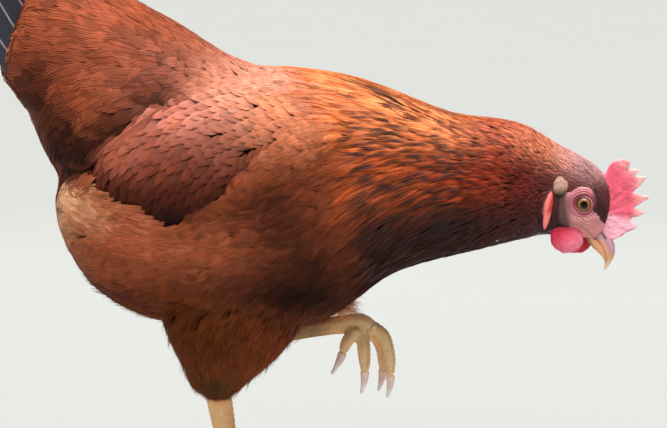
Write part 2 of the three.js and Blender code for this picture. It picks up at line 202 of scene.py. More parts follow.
class Surface:
    # a shape that points and feathers are laid on
    def __init__(self, shape):
        flat = shape.copy()
        bmesh.ops.triangulate(flat, faces=flat.faces)
        flat.normal_update()
        self.places, self.normals = placesOf(flat), normalsOf(flat)
        self.tris = np.array([[v.index for v in f.verts] for f in flat.faces])
        self.tree = BVHTree.FromPolygons(self.places.tolist(), self.tris.tolist())
        flat.free()

    def corners(self, at, index):
        a, b, c = (self.places[self.tris[index, k]] for k in range(3))
        v0, v1, v2 = b - a, c - a, at - a
        d00, d01, d11 = (v0 * v0).sum(1), (v0 * v1).sum(1), (v1 * v1).sum(1)
        d20, d21 = (v2 * v0).sum(1), (v2 * v1).sum(1)
        area = np.maximum(d00 * d11 - d01 * d01, 1e-20)
        v = (d11 * d20 - d01 * d21) / area
        w = (d00 * d21 - d01 * d20) / area
        return np.clip(np.stack([1 - v - w, v, w], 1), 0, 1)

    def nearest(self, places):
        found = [self.tree.find_nearest(p) for p in places.tolist()]
        at = np.array([hit[0][:] for hit in found])
        index = np.array([hit[2] for hit in found])
        share = self.corners(at, index)
        normal = unit((self.normals[self.tris[index]] * share[..., None]).sum(1))
        return at, normal, index, share

    def value(self, perVert, index, share):
        picked = perVert[self.tris[index]]
        return (picked * share[..., None]).sum(1) if picked.ndim == 3 else (picked * share).sum(1)


def distanceTo(tree, places):
    return np.array([tree.find_nearest(p)[3] for p in places.tolist()])


def treeOf(*names):
    return BVHTree.FromBMesh(cadCopy(*names))


def middleOf(name):
    return sum(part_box(name), Vector()) / 2


# finishes

def shade(code):
    # a colour from its usual six digits, made linear for the shaders
    raw = np.array([int(code[i:i + 2], 16) / 255 for i in (0, 2, 4)])
    return np.where(raw <= 0.04045, raw / 12.92, ((raw + 0.055) / 1.055) ** 2.4)


def shades(**codes):
    return {name: shade(code) for name, code in codes.items()}


class Signal:
    # a socket that can be added to, multiplied and so on
    def __init__(self, finish, socket):
        self.finish, self.socket = finish, socket

    def out(self, name):
        return Signal(self.finish, self.socket.node.outputs[name])

    def math(self, operation, *others, swapped=False):
        terms = [*others, self] if swapped else [self, *others]
        return self.finish.add("Math", {"operation": operation}, dict(enumerate(terms)))

    def __add__(self, other):
        return self.math("ADD", other)

    __radd__ = __add__

    def __mul__(self, other):
        return self.math("MULTIPLY", other)

    __rmul__ = __mul__

    def __sub__(self, other):
        return self.math("SUBTRACT", other)

    def __rsub__(self, other):
        return self.math("SUBTRACT", other, swapped=True)

    def __pow__(self, other):
        return self.math("POWER", other)


class Finish:
    def __init__(self, name, **constants):
        self.material = bpy.data.materials.new(name)
        self.material.use_nodes = True
        self.nodes = self.material.node_tree.nodes
        self.links = self.material.node_tree.links
        self.body = self.nodes["Principled BSDF"]
        for socket, value in constants.items():
            self.body.inputs[socket.replace("_", " ")].default_value = value

    def add(self, kind, settings=None, inputs=None, output=0):
        node = self.nodes.new("ShaderNode" + kind)
        for key, value in (settings or {}).items():
            setattr(node, key, value)
        for key, value in (inputs or {}).items():
            self.feed(node.inputs[key], value)
        return Signal(self, node.outputs[output])

    def feed(self, socket, value):
        if isinstance(value, Signal):
            self.links.new(value.socket, socket)
        else:
            socket.default_value = value

    def ramp(self, value, *stops):
        node = self.nodes.new("ShaderNodeValToRGB")
        elements = node.color_ramp.elements
        while len(elements) < len(stops):
            elements.new(1)
        for element, (place, colour) in zip(elements, stops):
            element.position = place
            element.color = (*colour, 1)
        self.feed(node.inputs["Fac"], value)
        return Signal(self, node.outputs["Color"])

    def mix(self, share, a, b):
        return self.add("Mix", {"data_type": "RGBA"}, {0: share, 6: rgba(a), 7: rgba(b)}, output=2)

    def scaled(self, colour, tone):
        return self.add("VectorMath", {"operation": "SCALE"}, {0: colour, "Scale": tone})

    def attribute(self, name, output="Color"):
        return self.add("Attribute", {"attribute_name": name}, output=output)

    def uv(self, name):
        return self.add("UVMap", {"uv_map": name})

    def split(self, vector):
        return self.add("SeparateXYZ", {}, {0: vector})

    def join(self, x, y=0.0, z=0.0):
        return self.add("CombineXYZ", {}, {0: x, 1: y, 2: z})

    def noise(self, vector, scale, detail=2.0, roughness=0.5):
        inputs = {"Vector": vector, "Scale": scale, "Detail": detail, "Roughness": roughness}
        return self.add("TexNoise", {}, inputs)

    def object(self):
        return self.add("TexCoord", output="Object")

    def bump(self, height, strength=0.5, distance=0.0005):
        inputs = {"Height": height, "Strength": strength, "Distance": distance}
        return self.add("Bump", {}, inputs)

    def done(self, colour=None, roughness=None, normal=None):
        for name, value in (("Base Color", colour), ("Roughness", roughness), ("Normal", normal)):
            if value is not None:
                self.feed(self.body.inputs[name], rgba(value))
        return self.material


def rgba(value):
    if isinstance(value, (tuple, list, np.ndarray)) and len(value) == 3:
        return (*[float(v) for v in value], 1.0)
    return value


def floorFinish():
    finish = Finish("pale floor", Roughness=0.85)
    soft = finish.noise(finish.object(), 3.0, 3.0)
    dim = tuple(value * studio["floorShade"] for value in studio["floorTone"])
    return finish.done(finish.mix(soft, studio["floorTone"], dim))


def featherFinish(name, roughness, sheen, streak, barb, gloss):
    # the barbs run out and forward from the shaft, which is the middle of the vane's own map
    finish = Finish(name, Sheen_Weight=sheen, Sheen_Roughness=0.45, Specular_IOR_Level=gloss)
    finish.body.inputs["Sheen Tint"].default_value = (1.0, 0.62, 0.48, 1)
    place = finish.split(finish.uv("vane"))
    across, along = place.out("X"), place.out("Y")
    out = (across - 0.5).math("ABSOLUTE")
    barbs = along - out * 0.55
    own = finish.attribute("own", "Fac")
    clumps = finish.noise(finish.join(barbs * 16, across * 1.6, own * 91), 1.0, 3.0, 0.65)
    fine = finish.noise(finish.join(barbs * barb, across * 3, own * 57), 1.0, 1.0)
    mottle = finish.noise(finish.object(), 260.0, 2.0)
    tone = (clumps - 0.5) * streak + (fine - 0.5) * (streak * 0.7) + (mottle - 0.5) * 0.18 + 1.0
    colour = finish.scaled(finish.attribute("dye"), tone)
    rough = (clumps - 0.5) * 0.25 + roughness
    relief = finish.bump(clumps * 0.6 + fine * 0.5, 0.55, 0.0004)
    return finish.done(colour, rough, relief)


def fleshFinish(name, roughness, pebble, depth, gloss, scatter):
    finish = Finish(name, Specular_IOR_Level=gloss, Subsurface_Weight=scatter, Subsurface_Scale=0.002)
    spot = finish.object()
    settings = {"Vector": spot, "Scale": pebble, "Smoothness": 0.6}
    cells = finish.add("TexVoronoi", {"feature": "SMOOTH_F1"}, settings)
    soft = finish.noise(spot, pebble * 0.22, 4.0, 0.6)
    fine = finish.noise(spot, pebble * 2.1, 2.0)
    tone = (0.5 - cells) * 0.22 + (soft - 0.5) * 0.4 + (fine - 0.5) * 0.16 + 1.0
    colour = finish.scaled(finish.attribute("dye"), tone)
    rough = (soft - 0.5) * 0.3 + roughness
    relief = finish.bump((1 - cells) * 0.7 + fine * 0.35, 0.6, depth)
    return finish.done(colour, rough, relief)


def hornFinish(name, roughness, grainScale):
    # growth lines across and fine fibres along, on colours that the piece carries
    finish = Finish(name, Specular_IOR_Level=0.5)
    place = finish.split(finish.uv("run"))
    along, around = place.out("X"), place.out("Y")
    fibres = finish.noise(finish.join(along * 3, around * grainScale), 1.0, 4.0, 0.6)
    rings = finish.noise(finish.join(along * grainScale * 0.9, around * 0.8), 1.0, 3.0, 0.6)
    tone = (fibres - 0.5) * 0.4 + (rings - 0.5) * 0.22 + 1.0
    colour = finish.scaled(finish.attribute("dye"), tone)
    relief = finish.bump(fibres * 0.5 + rings * 0.5, 0.4, 0.0002)
    return finish.done(colour, (fibres - 0.5) * 0.3 + roughness, relief)


# camera, light and floor

studio = {
    "target": (0.0211, 0.0, 0.2037),
    "distance": 3.0,
    "elevation": math.radians(4.0),
    "viewWidth": 0.4669,
    "farthest": 50,
    "daylight": 6.4, "daylightSpread": math.radians(50),
    "daylightWay": (-0.05, 0.30, -1), "daylightTint": (1, 0.985, 0.965),
    "ambient": 0.22, "skyTint": (0.93, 0.96, 1.0),
    "floorTone": (0.36, 0.37, 0.355), "floorShade": 0.97, "floorSize": 30,
    "softboxAim": (0, 0, 0.2),
}
# each softbox: its power, place, size and tint
softboxes = {
    "front": (6, (-1.5, -2.2, 2.0), (0.9, 0.8), (1, 0.99, 0.98)),
    "behind": (8, (0.2, 2.2, 1.6), (2.0, 1.4), (0.95, 0.98, 1)),
}


def setCamera():
    data = bpy.data.cameras.new("camera")
    camera = bpy.data.objects.new("camera", data)
    bpy.context.scene.collection.objects.link(camera)
    data.lens = data.sensor_width * studio["distance"] / studio["viewWidth"]
    data.clip_end = studio["farthest"]
    rise = studio["elevation"]
    back = Vector((0, -math.cos(rise), math.sin(rise)))
    camera.location = Vector(studio["target"]) + back * studio["distance"]
    camera.rotation_euler = (-back).to_track_quat("-Z", "Y").to_euler()
    bpy.context.scene.camera = camera


def addSoftbox(name, power, place, size, tint):
    data = bpy.data.lights.new(name, "AREA")
    data.shape = "RECTANGLE"
    data.size, data.size_y = size
    data.energy = power
    data.color = tint
    lamp = bpy.data.objects.new(name, data)
    bpy.context.scene.collection.objects.link(lamp)
    lamp.location = place
    aim = Vector(studio["softboxAim"]) - Vector(place)
    lamp.rotation_euler = aim.to_track_quat("-Z", "Y").to_euler()


def setStudio():
    world = bpy.data.worlds.new("studio")
    bpy.context.scene.world = world
    world.use_nodes = True
    sky = world.node_tree.nodes["Background"]
    sky.inputs["Color"].default_value = rgba(studio["skyTint"])
    sky.inputs["Strength"].default_value = studio["ambient"]
    daylight = bpy.data.lights.new("daylight", "SUN")
    daylight.energy, daylight.angle = studio["daylight"], studio["daylightSpread"]
    daylight.color = studio["daylightTint"]
    sun = bpy.data.objects.new("daylight", daylight)
    bpy.context.scene.collection.objects.link(sun)
    sun.rotation_euler = Vector(studio["daylightWay"]).to_track_quat("-Z", "Y").to_euler()
    for name, values in softboxes.items():
        addSoftbox(name, *values)
    bpy.context.scene.view_settings.view_transform = "Standard"
    ground = bmesh.new()
    bmesh.ops.create_grid(ground, x_segments=1, y_segments=1, size=studio["floorSize"])
    floor = pieceFrom(ground, "floor")
    floor.data.materials.append(floorFinish())


setCamera()
setStudio()
print("studio set")


# places on the bird

eyeAt = {name: middleOf("eye_" + name) for name in sides}
eyeX, eyeZ = eyeAt["right"].x, eyeAt["right"].z
nodeTrees = {name: treeOf(*members) for name, members in {
    "trunk": ["trunk"], "neck": ["neck"], "head": ["head"], "rump": ["rump"],
    "wing": ["wing_right", "wing_left"], "thigh": ["thigh_right", "thigh_left"],
}.items()}
fleshTrees = {
    "comb": treeOf("comb"), "wattle": treeOf("wattle_right", "wattle_left"),
    "lobe": treeOf("earlobe_right", "earlobe_left"),
    "bill": treeOf("beak_upper", "beak_lower"), "ear": treeOf("ear_right", "ear_left"),
}
shankTree = treeOf("shank_right", "shank_left")


def toFlesh(places, *names):
    return np.min([distanceTo(fleshTrees[name], places) for name in names], axis=0)


# the bare skin of the face, as soft discs seen from the side: forward and up from the eye, and radius, in mm
faceDiscs = [
    (-0.6, 2.2, 10.0), (-11.5, 3.0, 5.8), (-11.5, -3.5, 6.2), (-11.0, -8.5, 6.5), (-3.0, -9.0, 9.0),
    (3.0, -13.0, 9.0), (9.0, -18.5, 7.5), (0.0, -20.0, 6.0), (13.5, -24, 5),
]


def offEye(places):
    # how far forward of the eye and above it, in mm
    return (places[:, 0] - eyeX) / mm, (places[:, 2] - eyeZ) / mm


def bareFace(places):
    flat = np.stack(offEye(places), 1)
    nearest = np.min([np.linalg.norm(flat - (x, z), axis=1) - r for x, z, r in faceDiscs], axis=0)
    return 1 - ease(nearest, -0.6, 0.8)


coat = {"body": 9 * mm, "neckFoot": 7.5 * mm, "neckTop": 2.6 * mm, "crown": 1.0 * mm, "legs": 5 * mm}


def coatDepth(places):
    x, z = places[:, 0], places[:, 2]
    depth = blend(coat["body"], coat["neckFoot"], ease(x, 0.02, 0.07))
    depth = blend(depth, coat["neckTop"], ease(x, 0.07, 0.165))
    depth = blend(depth, coat["crown"], ease(x, 0.162, 0.182))
    depth = blend(depth, coat["legs"], ease(z, 0.135, 0.085) * ease(x, 0.1, 0.05))
    reach = distanceTo(shankTree, places)
    depth = np.minimum(depth, np.maximum(reach * 0.5 - 0.2 * mm, 0))
    inHead = x > 0.16
    depth[inHead] *= 1 - bareFace(places[inHead])
    return depth


# markings

dyes = {name: shade(code) for name, code in {
    "rust": "a4512f", "saddle": "96492f", "saddleLow": "3e1204", "saddleShade": "180300", "saddleHighlight": "dfa390",
    "creaseShade": "080100", "topHighlight": "e4987e", "shoulder": "cf7c56", "breast": "411b0d", "bellyShade": "0a0100",
    "fluffAndHighlight": "ffc696", "flank": "b55e40", "flankLow": "934828", "rear": "592004", "thigh": "66330f",
    "garter": "443c24", "dusk": "6c3426", "tipPale": "e8a88a", "black": "1b1a1e", "amber": "ec8436",
    "wing": "552112", "wingEdge": "c26e5a", "wingRear": "451603", "wingShade": "0f0200",
    "wingFront": "a45742",
    "hackleTop": "fb9458", "hackle": "b04c1c", "hackleUnderShade": "3c0c02", "hackleShade": "3a0b02",
    "hackleFore": "96300c", "napeTop": "b04c2c", "napeHighlight": "ec8c66", "nape": "74231a", "napeLow": "55201b",
    "crownHighlight": "eeb0ac", "crown": "8a4c48", "plum": "5c3240",
    "tailBlack": "1f2431", "tailEdge": "3b2c33", "shaft": "a89aa4",
}.items()}

# soft washes seen from the side: x, z, half sizes, dye and strength; for body, neck and head, and wings.
# Besides the coat's own colours, some washes are painted shade and some painted highlight
washes = [
    (-0.130, 0.315, 0.110, 0.050, "saddle", 0.95), (-0.170, 0.296, 0.026, 0.018, "saddleLow", 0.9),
    (-0.155, 0.266, 0.029, 0.022, "saddleShade", 1.0), (-0.064, 0.212, 0.015, 0.010, "wingShade", 0.8),
    # the belly wash here and the breast and belly washes below are painted shade on the underside of the body
    (0.020, 0.186, 0.028, 0.016, "bellyShade", 0.7), (-0.185, 0.252, 0.016, 0.018, "rear", 0.7),
    # the pale pink wash on the saddle's rear top and the pale wash over the top of the back are painted
    # highlight, where light from above falls
    (-0.205, 0.325, 0.012, 0.014, "saddleHighlight", 0.7), (-0.015, 0.298, 0.055, 0.018, "topHighlight", 0.95),
    (-0.086, 0.300, 0.022, 0.016, "dusk", 0.75),
    (0.008, 0.272, 0.034, 0.020, "shoulder", 0.9), (0.000, 0.212, 0.050, 0.040, "breast", 0.95),
    (0.010, 0.160, 0.085, 0.026, "bellyShade", 0.97), (-0.090, 0.188, 0.060, 0.018, "flank", 0.95),
    # the soft rear flank's own paler down, lightened further as painted light on its bulge
    (-0.158, 0.212, 0.020, 0.015, "fluffAndHighlight", 1.0), (-0.128, 0.204, 0.020, 0.010, "fluffAndHighlight", 0.3),
    (-0.135, 0.172, 0.040, 0.016, "flankLow", 0.8), (-0.110, 0.148, 0.050, 0.014, "rear", 0.9),
    (-0.062, 0.130, 0.045, 0.030, "thigh", 0.95), (-0.060, 0.088, 0.025, 0.014, "garter", 0.8),
]
headWashes = [
    # painted shade on the lower neck
    (0.066, 0.208, 0.024, 0.018, "hackleShade", 0.75),
    (0.205, 0.208, 0.0055, 0.015, "plum", 0.9), (0.176, 0.213, 0.006, 0.012, "plum", 0.6),
    (0.168, 0.197, 0.012, 0.009, "plum", 0.7), (0.199, 0.232, 0.006, 0.007, "plum", 0.45),
]
wingWashes = [
    # the first wash here is painted highlight on the top of the wings, where light from above falls
    (-0.050, 0.292, 0.050, 0.017, "topHighlight", 0.9), (0.000, 0.280, 0.035, 0.022, "shoulder", 0.95),
    (-0.078, 0.281, 0.030, 0.015, "wingEdge", 0.9), (-0.118, 0.262, 0.030, 0.014, "wingFront", 0.8),
    (-0.130, 0.228, 0.020, 0.016, "wingRear", 0.95), (-0.074, 0.209, 0.048, 0.023, "wingShade", 1.0),
    (0.005, 0.245, 0.020, 0.020, "wingFront", 0.5), (-0.045, 0.256, 0.022, 0.014, "wingFront", 0.15),
]
# painted shade in the crease between wing and saddle, seen from the side: its line and how far it reaches
creaseShade = {"line": [(-0.157, 0.241), (-0.135, 0.259), (-0.107, 0.2775), (-0.086, 0.288)], "reach": 9 * mm}

# the neck's colours along it, on its top line, its sides and underneath; the top line's colours are lightened
# by painted highlight where light from above falls, and those underneath are darkened by painted shade
neckRows = {
    "top": {0.02: "hackleTop", 0.105: "hackleTop", 0.140: "napeTop", 0.172: "napeHighlight", 0.195: "crownHighlight"},
    "side": {0.03: "hackle", 0.085: "hackle", 0.125: "hackleFore", 0.158: "nape", 0.200: "crown"},
    "under": {0.03: "hackleShade", 0.120: "hackleShade", 0.165: "napeLow", 0.200: "napeLow"},
}


def washed(dye, places, spots):
    for x, z, wide, high, name, strength in spots:
        share = strength * np.exp(-(((places[:, 0] - x) / wide) ** 2 + ((places[:, 2] - z) / high) ** 2))
        dye = tinted(dye, dyes[name], share)
    return dye


def alongNeck(x, row):
    stops, names = list(neckRows[row]), neckRows[row].values()
    return np.stack([np.interp(x, stops, [dyes[name][k] for name in names]) for k in range(3)], 1)


def coatDye(places, tract):
    x = places[:, 0]
    dye = washed(np.tile(dyes["rust"], (len(places), 1)), places, washes)
    # painted shade along the crease, on the saddle's and the back's feathers
    gap = toLine(places[:, [0, 2]], creaseShade["line"])
    creaseShadeShare = np.exp(-(gap / creaseShade["reach"]) ** 2) * (tract["rump"] + 0.6 * tract["trunk"])
    dye = tinted(dye, dyes["creaseShade"], creaseShadeShare)
    wing = washed(np.tile(dyes["wing"], (len(places), 1)), places, wingWashes)
    dye = tinted(dye, wing, tract["wing"])
    level = neckLevel(places)
    # the bottom of the neck darkest, as painted shade
    low = ease(level, -0.75, -0.2) * ease(x, 0.16, 0.13)
    neck = tinted(alongNeck(x, "under"), dyes["hackleUnderShade"], low)
    neck = tinted(neck, alongNeck(x, "side"), ease(level, -0.55, 0.1))
    neck = tinted(neck, alongNeck(x, "top"), ease(level, 0.25, 0.95))
    neck = washed(neck, places, headWashes)
    share = tract["neck"] + tract["head"]
    return tinted(dye, neck, share)


neckLines = {
    "x": [-0.02, 0.03, 0.07, 0.12, 0.16, 0.20],
    "top": [0.307, 0.300, 0.288, 0.270, 0.258, 0.235],
    "low": [0.122, 0.145, 0.170, 0.180, 0.188, 0.190],
}


def neckLevel(places):
    # 1 on the top line of the neck and -1 under it
    x, z = places[:, 0], places[:, 2]
    top, low = (np.interp(x, neckLines["x"], neckLines[key]) for key in ("top", "low"))
    return (2 * z - top - low) / (top - low)


# the lie of the coat

# where a place on the side is, and which way its feathers point: x, z, forward, up
lie = [
    (-0.002, 0.303, -1, -0.02), (-0.030, 0.306, -1, 0), (-0.058, 0.310, -1, 0.25),
    (-0.079, 0.322, -0.88, 0.4), (-0.107, 0.338, -0.85, 0.5), (-0.135, 0.351, -0.85, 0.5),
    (-0.149, 0.343, -0.85, 0.4), (-0.107, 0.319, -1, 0.1), (-0.107, 0.297, -1, -0.08),
    (-0.142, 0.311, -1, -0.15), (-0.170, 0.326, -0.96, 0.12), (-0.170, 0.290, -1, -0.35),
    (-0.191, 0.319, -1, 0.1), (-0.142, 0.277, -0.9, -0.5), (-0.170, 0.263, -0.7, -0.75),
    (-0.177, 0.238, -0.4, -0.9), (-0.195, 0.290, -0.9, -0.4), (0.208, 0.210, -0.45, 0.9),
    (0.201, 0.229, -0.7, 0.7), (0.183, 0.243, -0.85, 0.5), (0.159, 0.257, -0.85, 0.5),
    (0.134, 0.268, -1, 0.15), (0.103, 0.273, -0.97, 0.2), (0.068, 0.287, -0.95, 0.3),
    (0.029, 0.299, -1, 0.1), (0.169, 0.231, -0.95, 0.1), (0.169, 0.210, -0.88, -0.45),
    (0.162, 0.194, -0.85, -0.5), (0.141, 0.241, -1, 0.1), (0.138, 0.221, -1, -0.08),
    (0.138, 0.196, -0.95, -0.3), (0.117, 0.241, -1, -0.05), (0.110, 0.213, -1, -0.12),
    (0.110, 0.185, -0.97, -0.2), (0.089, 0.255, -1, -0.08), (0.089, 0.227, -0.95, -0.28),
    (0.085, 0.200, -0.85, -0.5), (0.082, 0.175, -0.95, -0.3), (0.061, 0.273, -1, -0.02),
    (0.057, 0.248, -0.97, -0.2), (0.057, 0.221, -0.88, -0.45), (0.064, 0.189, -0.8, -0.6),
    (0.036, 0.280, -1, -0.05), (0.040, 0.248, -0.95, -0.3), (0.054, 0.170, -0.85, -0.5),
    (0.033, 0.210, -0.8, -0.55), (0.019, 0.238, -0.9, -0.35), (-0.002, 0.193, -0.88, -0.42),
    (0.019, 0.154, -0.85, -0.45), (-0.002, 0.221, -0.87, -0.45), (-0.016, 0.150, -0.75, -0.6),
    (0.029, 0.185, -0.8, -0.55), (0.019, 0.268, -0.93, -0.25), (-0.002, 0.286, -0.93, -0.3),
    (-0.030, 0.293, -0.93, -0.3), (-0.058, 0.295, -0.9, -0.35), (-0.086, 0.278, -0.85, -0.42),
    (-0.114, 0.263, -0.8, -0.52), (-0.142, 0.241, -0.65, -0.72), (-0.072, 0.255, -0.85, -0.5),
    (-0.044, 0.263, -0.9, -0.4), (-0.023, 0.255, -0.87, -0.45), (-0.058, 0.234, -0.7, -0.7),
    (-0.093, 0.227, -0.62, -0.78), (-0.121, 0.229, -0.62, -0.72), (-0.041, 0.234, -0.62, -0.75),
    (-0.079, 0.205, -0.7, -0.6), (-0.045, 0.205, -0.98, 0.05), (-0.076, 0.186, -1, 0.1),
    (-0.107, 0.195, -0.95, 0.25), (-0.139, 0.208, -0.93, 0.3), (-0.160, 0.214, -0.85, 0.35),
    (-0.165, 0.189, -0.85, -0.5), (-0.142, 0.170, -0.8, -0.52), (-0.114, 0.154, -0.8, -0.55),
    (-0.079, 0.154, -0.85, -0.5), (-0.044, 0.170, -0.85, -0.48), (-0.107, 0.135, -0.62, -0.75),
    (-0.086, 0.130, -0.5, -0.85), (-0.062, 0.114, -0.15, -1), (-0.037, 0.131, -0.3, -0.92),
    (-0.057, 0.089, 0, -1), (-0.074, 0.112, 0.05, -1),
]

# the same on the folded wing
wingLie = [
    (-0.146, 0.233, -0.15, -1), (-0.139, 0.249, -0.6, -0.8), (-0.128, 0.256, -0.75, -0.65),
    (-0.114, 0.266, -0.82, -0.57), (-0.097, 0.278, -0.88, -0.47), (-0.072, 0.287, -0.97, -0.25),
    (-0.037, 0.287, -1, -0.05), (-0.009, 0.280, -1, 0), (-0.121, 0.235, -0.45, -0.9),
    (-0.100, 0.249, -0.7, -0.72), (-0.079, 0.263, -0.85, -0.52), (-0.051, 0.270, -0.95, -0.3),
    (-0.023, 0.266, -0.95, -0.3), (-0.132, 0.221, -0.3, -0.95), (-0.100, 0.224, -0.5, -0.87),
    (-0.079, 0.238, -0.6, -0.8), (-0.055, 0.249, -0.75, -0.65), (-0.030, 0.252, -0.8, -0.6),
    (-0.107, 0.210, -0.5, -0.85), (-0.079, 0.203, -0.6, -0.8), (-0.058, 0.214, -0.6, -0.8),
    (-0.044, 0.231, -0.65, -0.75), (0.000, 0.262, -0.95, -0.2),
]
# its lower and front edge, which the flank's feathers cover, its upper edge and its end
wingFoot = [
    (-0.149, 0.233), (-0.142, 0.220), (-0.125, 0.213), (-0.107, 0.204), (-0.090, 0.196), (-0.076, 0.194),
    (-0.058, 0.203), (-0.041, 0.220), (-0.029, 0.238), (-0.005, 0.252), (0.012, 0.270),
]
wingTop = [(-0.080, 0.290), (-0.040, 0.297), (0.000, 0.292), (0.014, 0.275)]
wingEnd = [(-0.090, 0.300), (-0.125, 0.285), (-0.160, 0.262), (-0.170, 0.240)]


def withinWing(flat):
    # how far inside the wing's covered edges a place is, seen from the side; less than 0 outside them
    ring = wingFoot + wingTop[::-1] + wingEnd
    inside = np.zeros(len(flat), bool)
    for (x1, z1), (x2, z2) in zip(ring, ring[1:] + ring[:1]):
        spans = (z1 > flat[:, 1]) != (z2 > flat[:, 1])
        cut = x1 + (flat[:, 1] - z1) * (x2 - x1) / (z2 - z1 or 1e-9)
        inside ^= spans & (flat[:, 0] < cut)
    apart = np.minimum(toLine(flat, wingFoot), 2 * toLine(flat, wingTop) + 1 * mm)
    return np.where(inside, apart, -apart)


class Lie:
    # the direction in which feathers point, anywhere on the bird
    def __init__(self, marks, ways, reach=9 * mm):
        self.marks, self.ways, self.reach = np.array(marks), unit(np.array(ways, float)), reach

    def at(self, places, normals):
        apart = ((places[:, None] - self.marks[None]) ** 2).sum(-1)
        share = 1 / (apart + self.reach ** 2) ** 2
        way = (share / share.sum(1, keepdims=True)) @ self.ways
        return unit(way - normals * dot(way, normals))


def sideLie(surface, rows, reach=9 * mm):
    marks, ways = [], []
    for x, z, forward, up in rows:
        for side in sides.values():
            hit = surface.tree.ray_cast((x, side * 0.3, z), (0, -side, 0))
            spot = hit[0] or surface.tree.find_nearest((x, side * 0.004, z))[0]
            marks.append(spot[:])
            ways.append((forward, 0, up))
    return Lie(marks, ways, reach)


# feathers

def vaneTemplate(seed, strips, rows, split, ragged, roundness, outline, relief, tipWidth=0.2, shaft=0.0):
    # one feather on a unit vane: strips of barbs side by side, each ending in its own point
    dice = np.random.default_rng(seed)
    across, along, drop, bone, strand, tris = [], [], [], [], [], []

    def put(spot, share, lift, stem):
        across.append(spot)
        along.append(share)
        drop.append(lift)
        bone.append(stem)

    def strip(left, right, end, lifts, stem):
        base, middle, own = len(across), (left + right) / 2, dice.uniform(-1, 1)
        strand.extend([own] * (rows * 2 + 1))
        for row in range(rows):
            share = (row / rows) ** 0.85
            narrow = 1 - 0.7 * share if stem else blend(1, tipWidth, ease(share, split, 1.0))
            for edge, lift in zip((left, right), lifts):
                put(middle + (edge - middle) * narrow, share * end, lift * share, stem)
        put(middle, end, sum(lifts) / 2, stem)
        for row in range(rows - 1):
            a = base + row * 2
            tris.extend([(a, a + 1, a + 3), (a, a + 3, a + 2)])
        a = base + rows * 2 - 2
        tris.append((a, a + 1, a + 2))

    edges = np.linspace(-1, 1, strips + 1)
    for left, right in zip(edges[:-1], edges[1:]):
        middle = abs(left + right) / 2
        end = 1 - roundness * middle ** 2.4 - ragged * dice.random()
        lift = dice.uniform(-relief, relief)
        strip(left, right, end, (lift, lift + dice.uniform(-0.3, 0.3) * relief), 0)
    if shaft:
        ridge = relief * 2.5
        strip(-shaft, 0, 0.97, (0, ridge), 1)
        strip(0, shaft, 0.97, (ridge, 0), 1)
    along = np.array(along)
    return {
        "u": np.array(across), "t": along, "drop": np.array(drop), "bone": np.array(bone, float),
        "strand": np.array(strand), "outline": outline(along), "tris": np.array(tris),
    }


# half widths along a vane, from its root at t = 0 to its tip at t = 1

def swell(t, root, until):
    return root + (1 - root) * np.sin(np.pi / 2 * np.minimum(1, t / until))


def broadOutline(t):
    return swell(t, 0.25, 0.4) * (1 - 0.3 * ease(t, 0.75, 1.0))


def hackleOutline(t):
    return swell(t, 0.3, 0.35) * (1 - 0.72 * np.clip((t - 0.4) / 0.6, 0, 1) ** 1.5)


def shieldOutline(t):
    return 0.9 + 0.1 * np.sin(np.pi * t)


def reedOutline(t):
    return (0.55 + 0.45 * np.minimum(1, t / 0.3)) * (1 - 0.25 * ease(t, 0.8, 1.0))


# each kind: how many variants and their first seed; strips and rows; from where a strip narrows; how ragged
# and how round the end is; outline; how far strips stand apart; width of their tips; half width of the shaft
vaneShapes = {
    "tuft": (4, 0, 3, 3, 0.25, 0.25, 0.15, hackleOutline, 0.05),
    "bristle": (3, 5, 2, 3, 0.3, 0.3, 0.1, hackleOutline, 0.05),
    "hackle": (5, 10, 6, 5, 0.45, 0.16, 0.14, hackleOutline, 0.03, 0.15, 0.05),
    "broad": (5, 20, 10, 4, 0.68, 0.10, 0.32, broadOutline, 0.010, 0.2, 0.035),
    "down": (5, 30, 9, 4, 0.25, 0.34, 0.35, broadOutline, 0.03, 0.10),
    "cover": (4, 35, 9, 5, 0.93, 0.03, 0.46, broadOutline, 0.003, 0.7, 0.035),
    "wisp": (5, 60, 4, 5, 0.1, 0.45, 0.1, hackleOutline, 0.12, 0.05),
    "scute": (2, 50, 8, 4, 0.8, 0.0, 0.10, shieldOutline, 0.0, 0.75),
    "scale": (3, 55, 3, 3, 0.6, 0.0, 0.22, shieldOutline, 0.0, 0.6),
    "quill": (3, 40, 14, 9, 0.9, 0.03, 0.12, reedOutline, 0.006, 0.3, 0.05),
}
vaneKinds = {kind: [vaneTemplate(seed + k, *shape) for k in range(count)]
             for kind, (count, seed, *shape) in vaneShapes.items()}


crowd = 7  # candidates for each root that is kept


def scatter(surface, spacing, wanted, seed):
    # evenly spread roots: more candidates than needed, then the crowded ones are thinned out
    dice = np.random.default_rng(seed)
    a, b, c = (surface.places[surface.tris[:, k]] for k in range(3))
    area = np.linalg.norm(np.cross(b - a, c - a), axis=1) / 2
    gap = spacing[surface.tris].mean(1)
    load = area / gap ** 2 * (wanted[surface.tris].mean(1) > 0.02)
    count = int(load.sum() * crowd)
    index = dice.choice(len(area), count, p=load / load.sum())
    one, two = np.sqrt(dice.random(count)), dice.random(count)
    share = np.stack([1 - one, one * (1 - two), one * two], 1)
    place = surface.value(surface.places, index, share)
    gap = surface.value(spacing, index, share)
    alive = dice.random(count) < surface.value(wanted, index, share)
    near = KDTree(count)
    for i, spot in enumerate(place.tolist()):
        near.insert(spot, i)
    near.balance()
    chosen = []
    for i in range(count):
        if alive[i]:
            chosen.append(i)
            for _, other, _ in near.find_range(place[i], gap[i]):
                alive[other] = False
    chosen = np.array(chosen)
    return place[chosen], index[chosen], share[chosen]


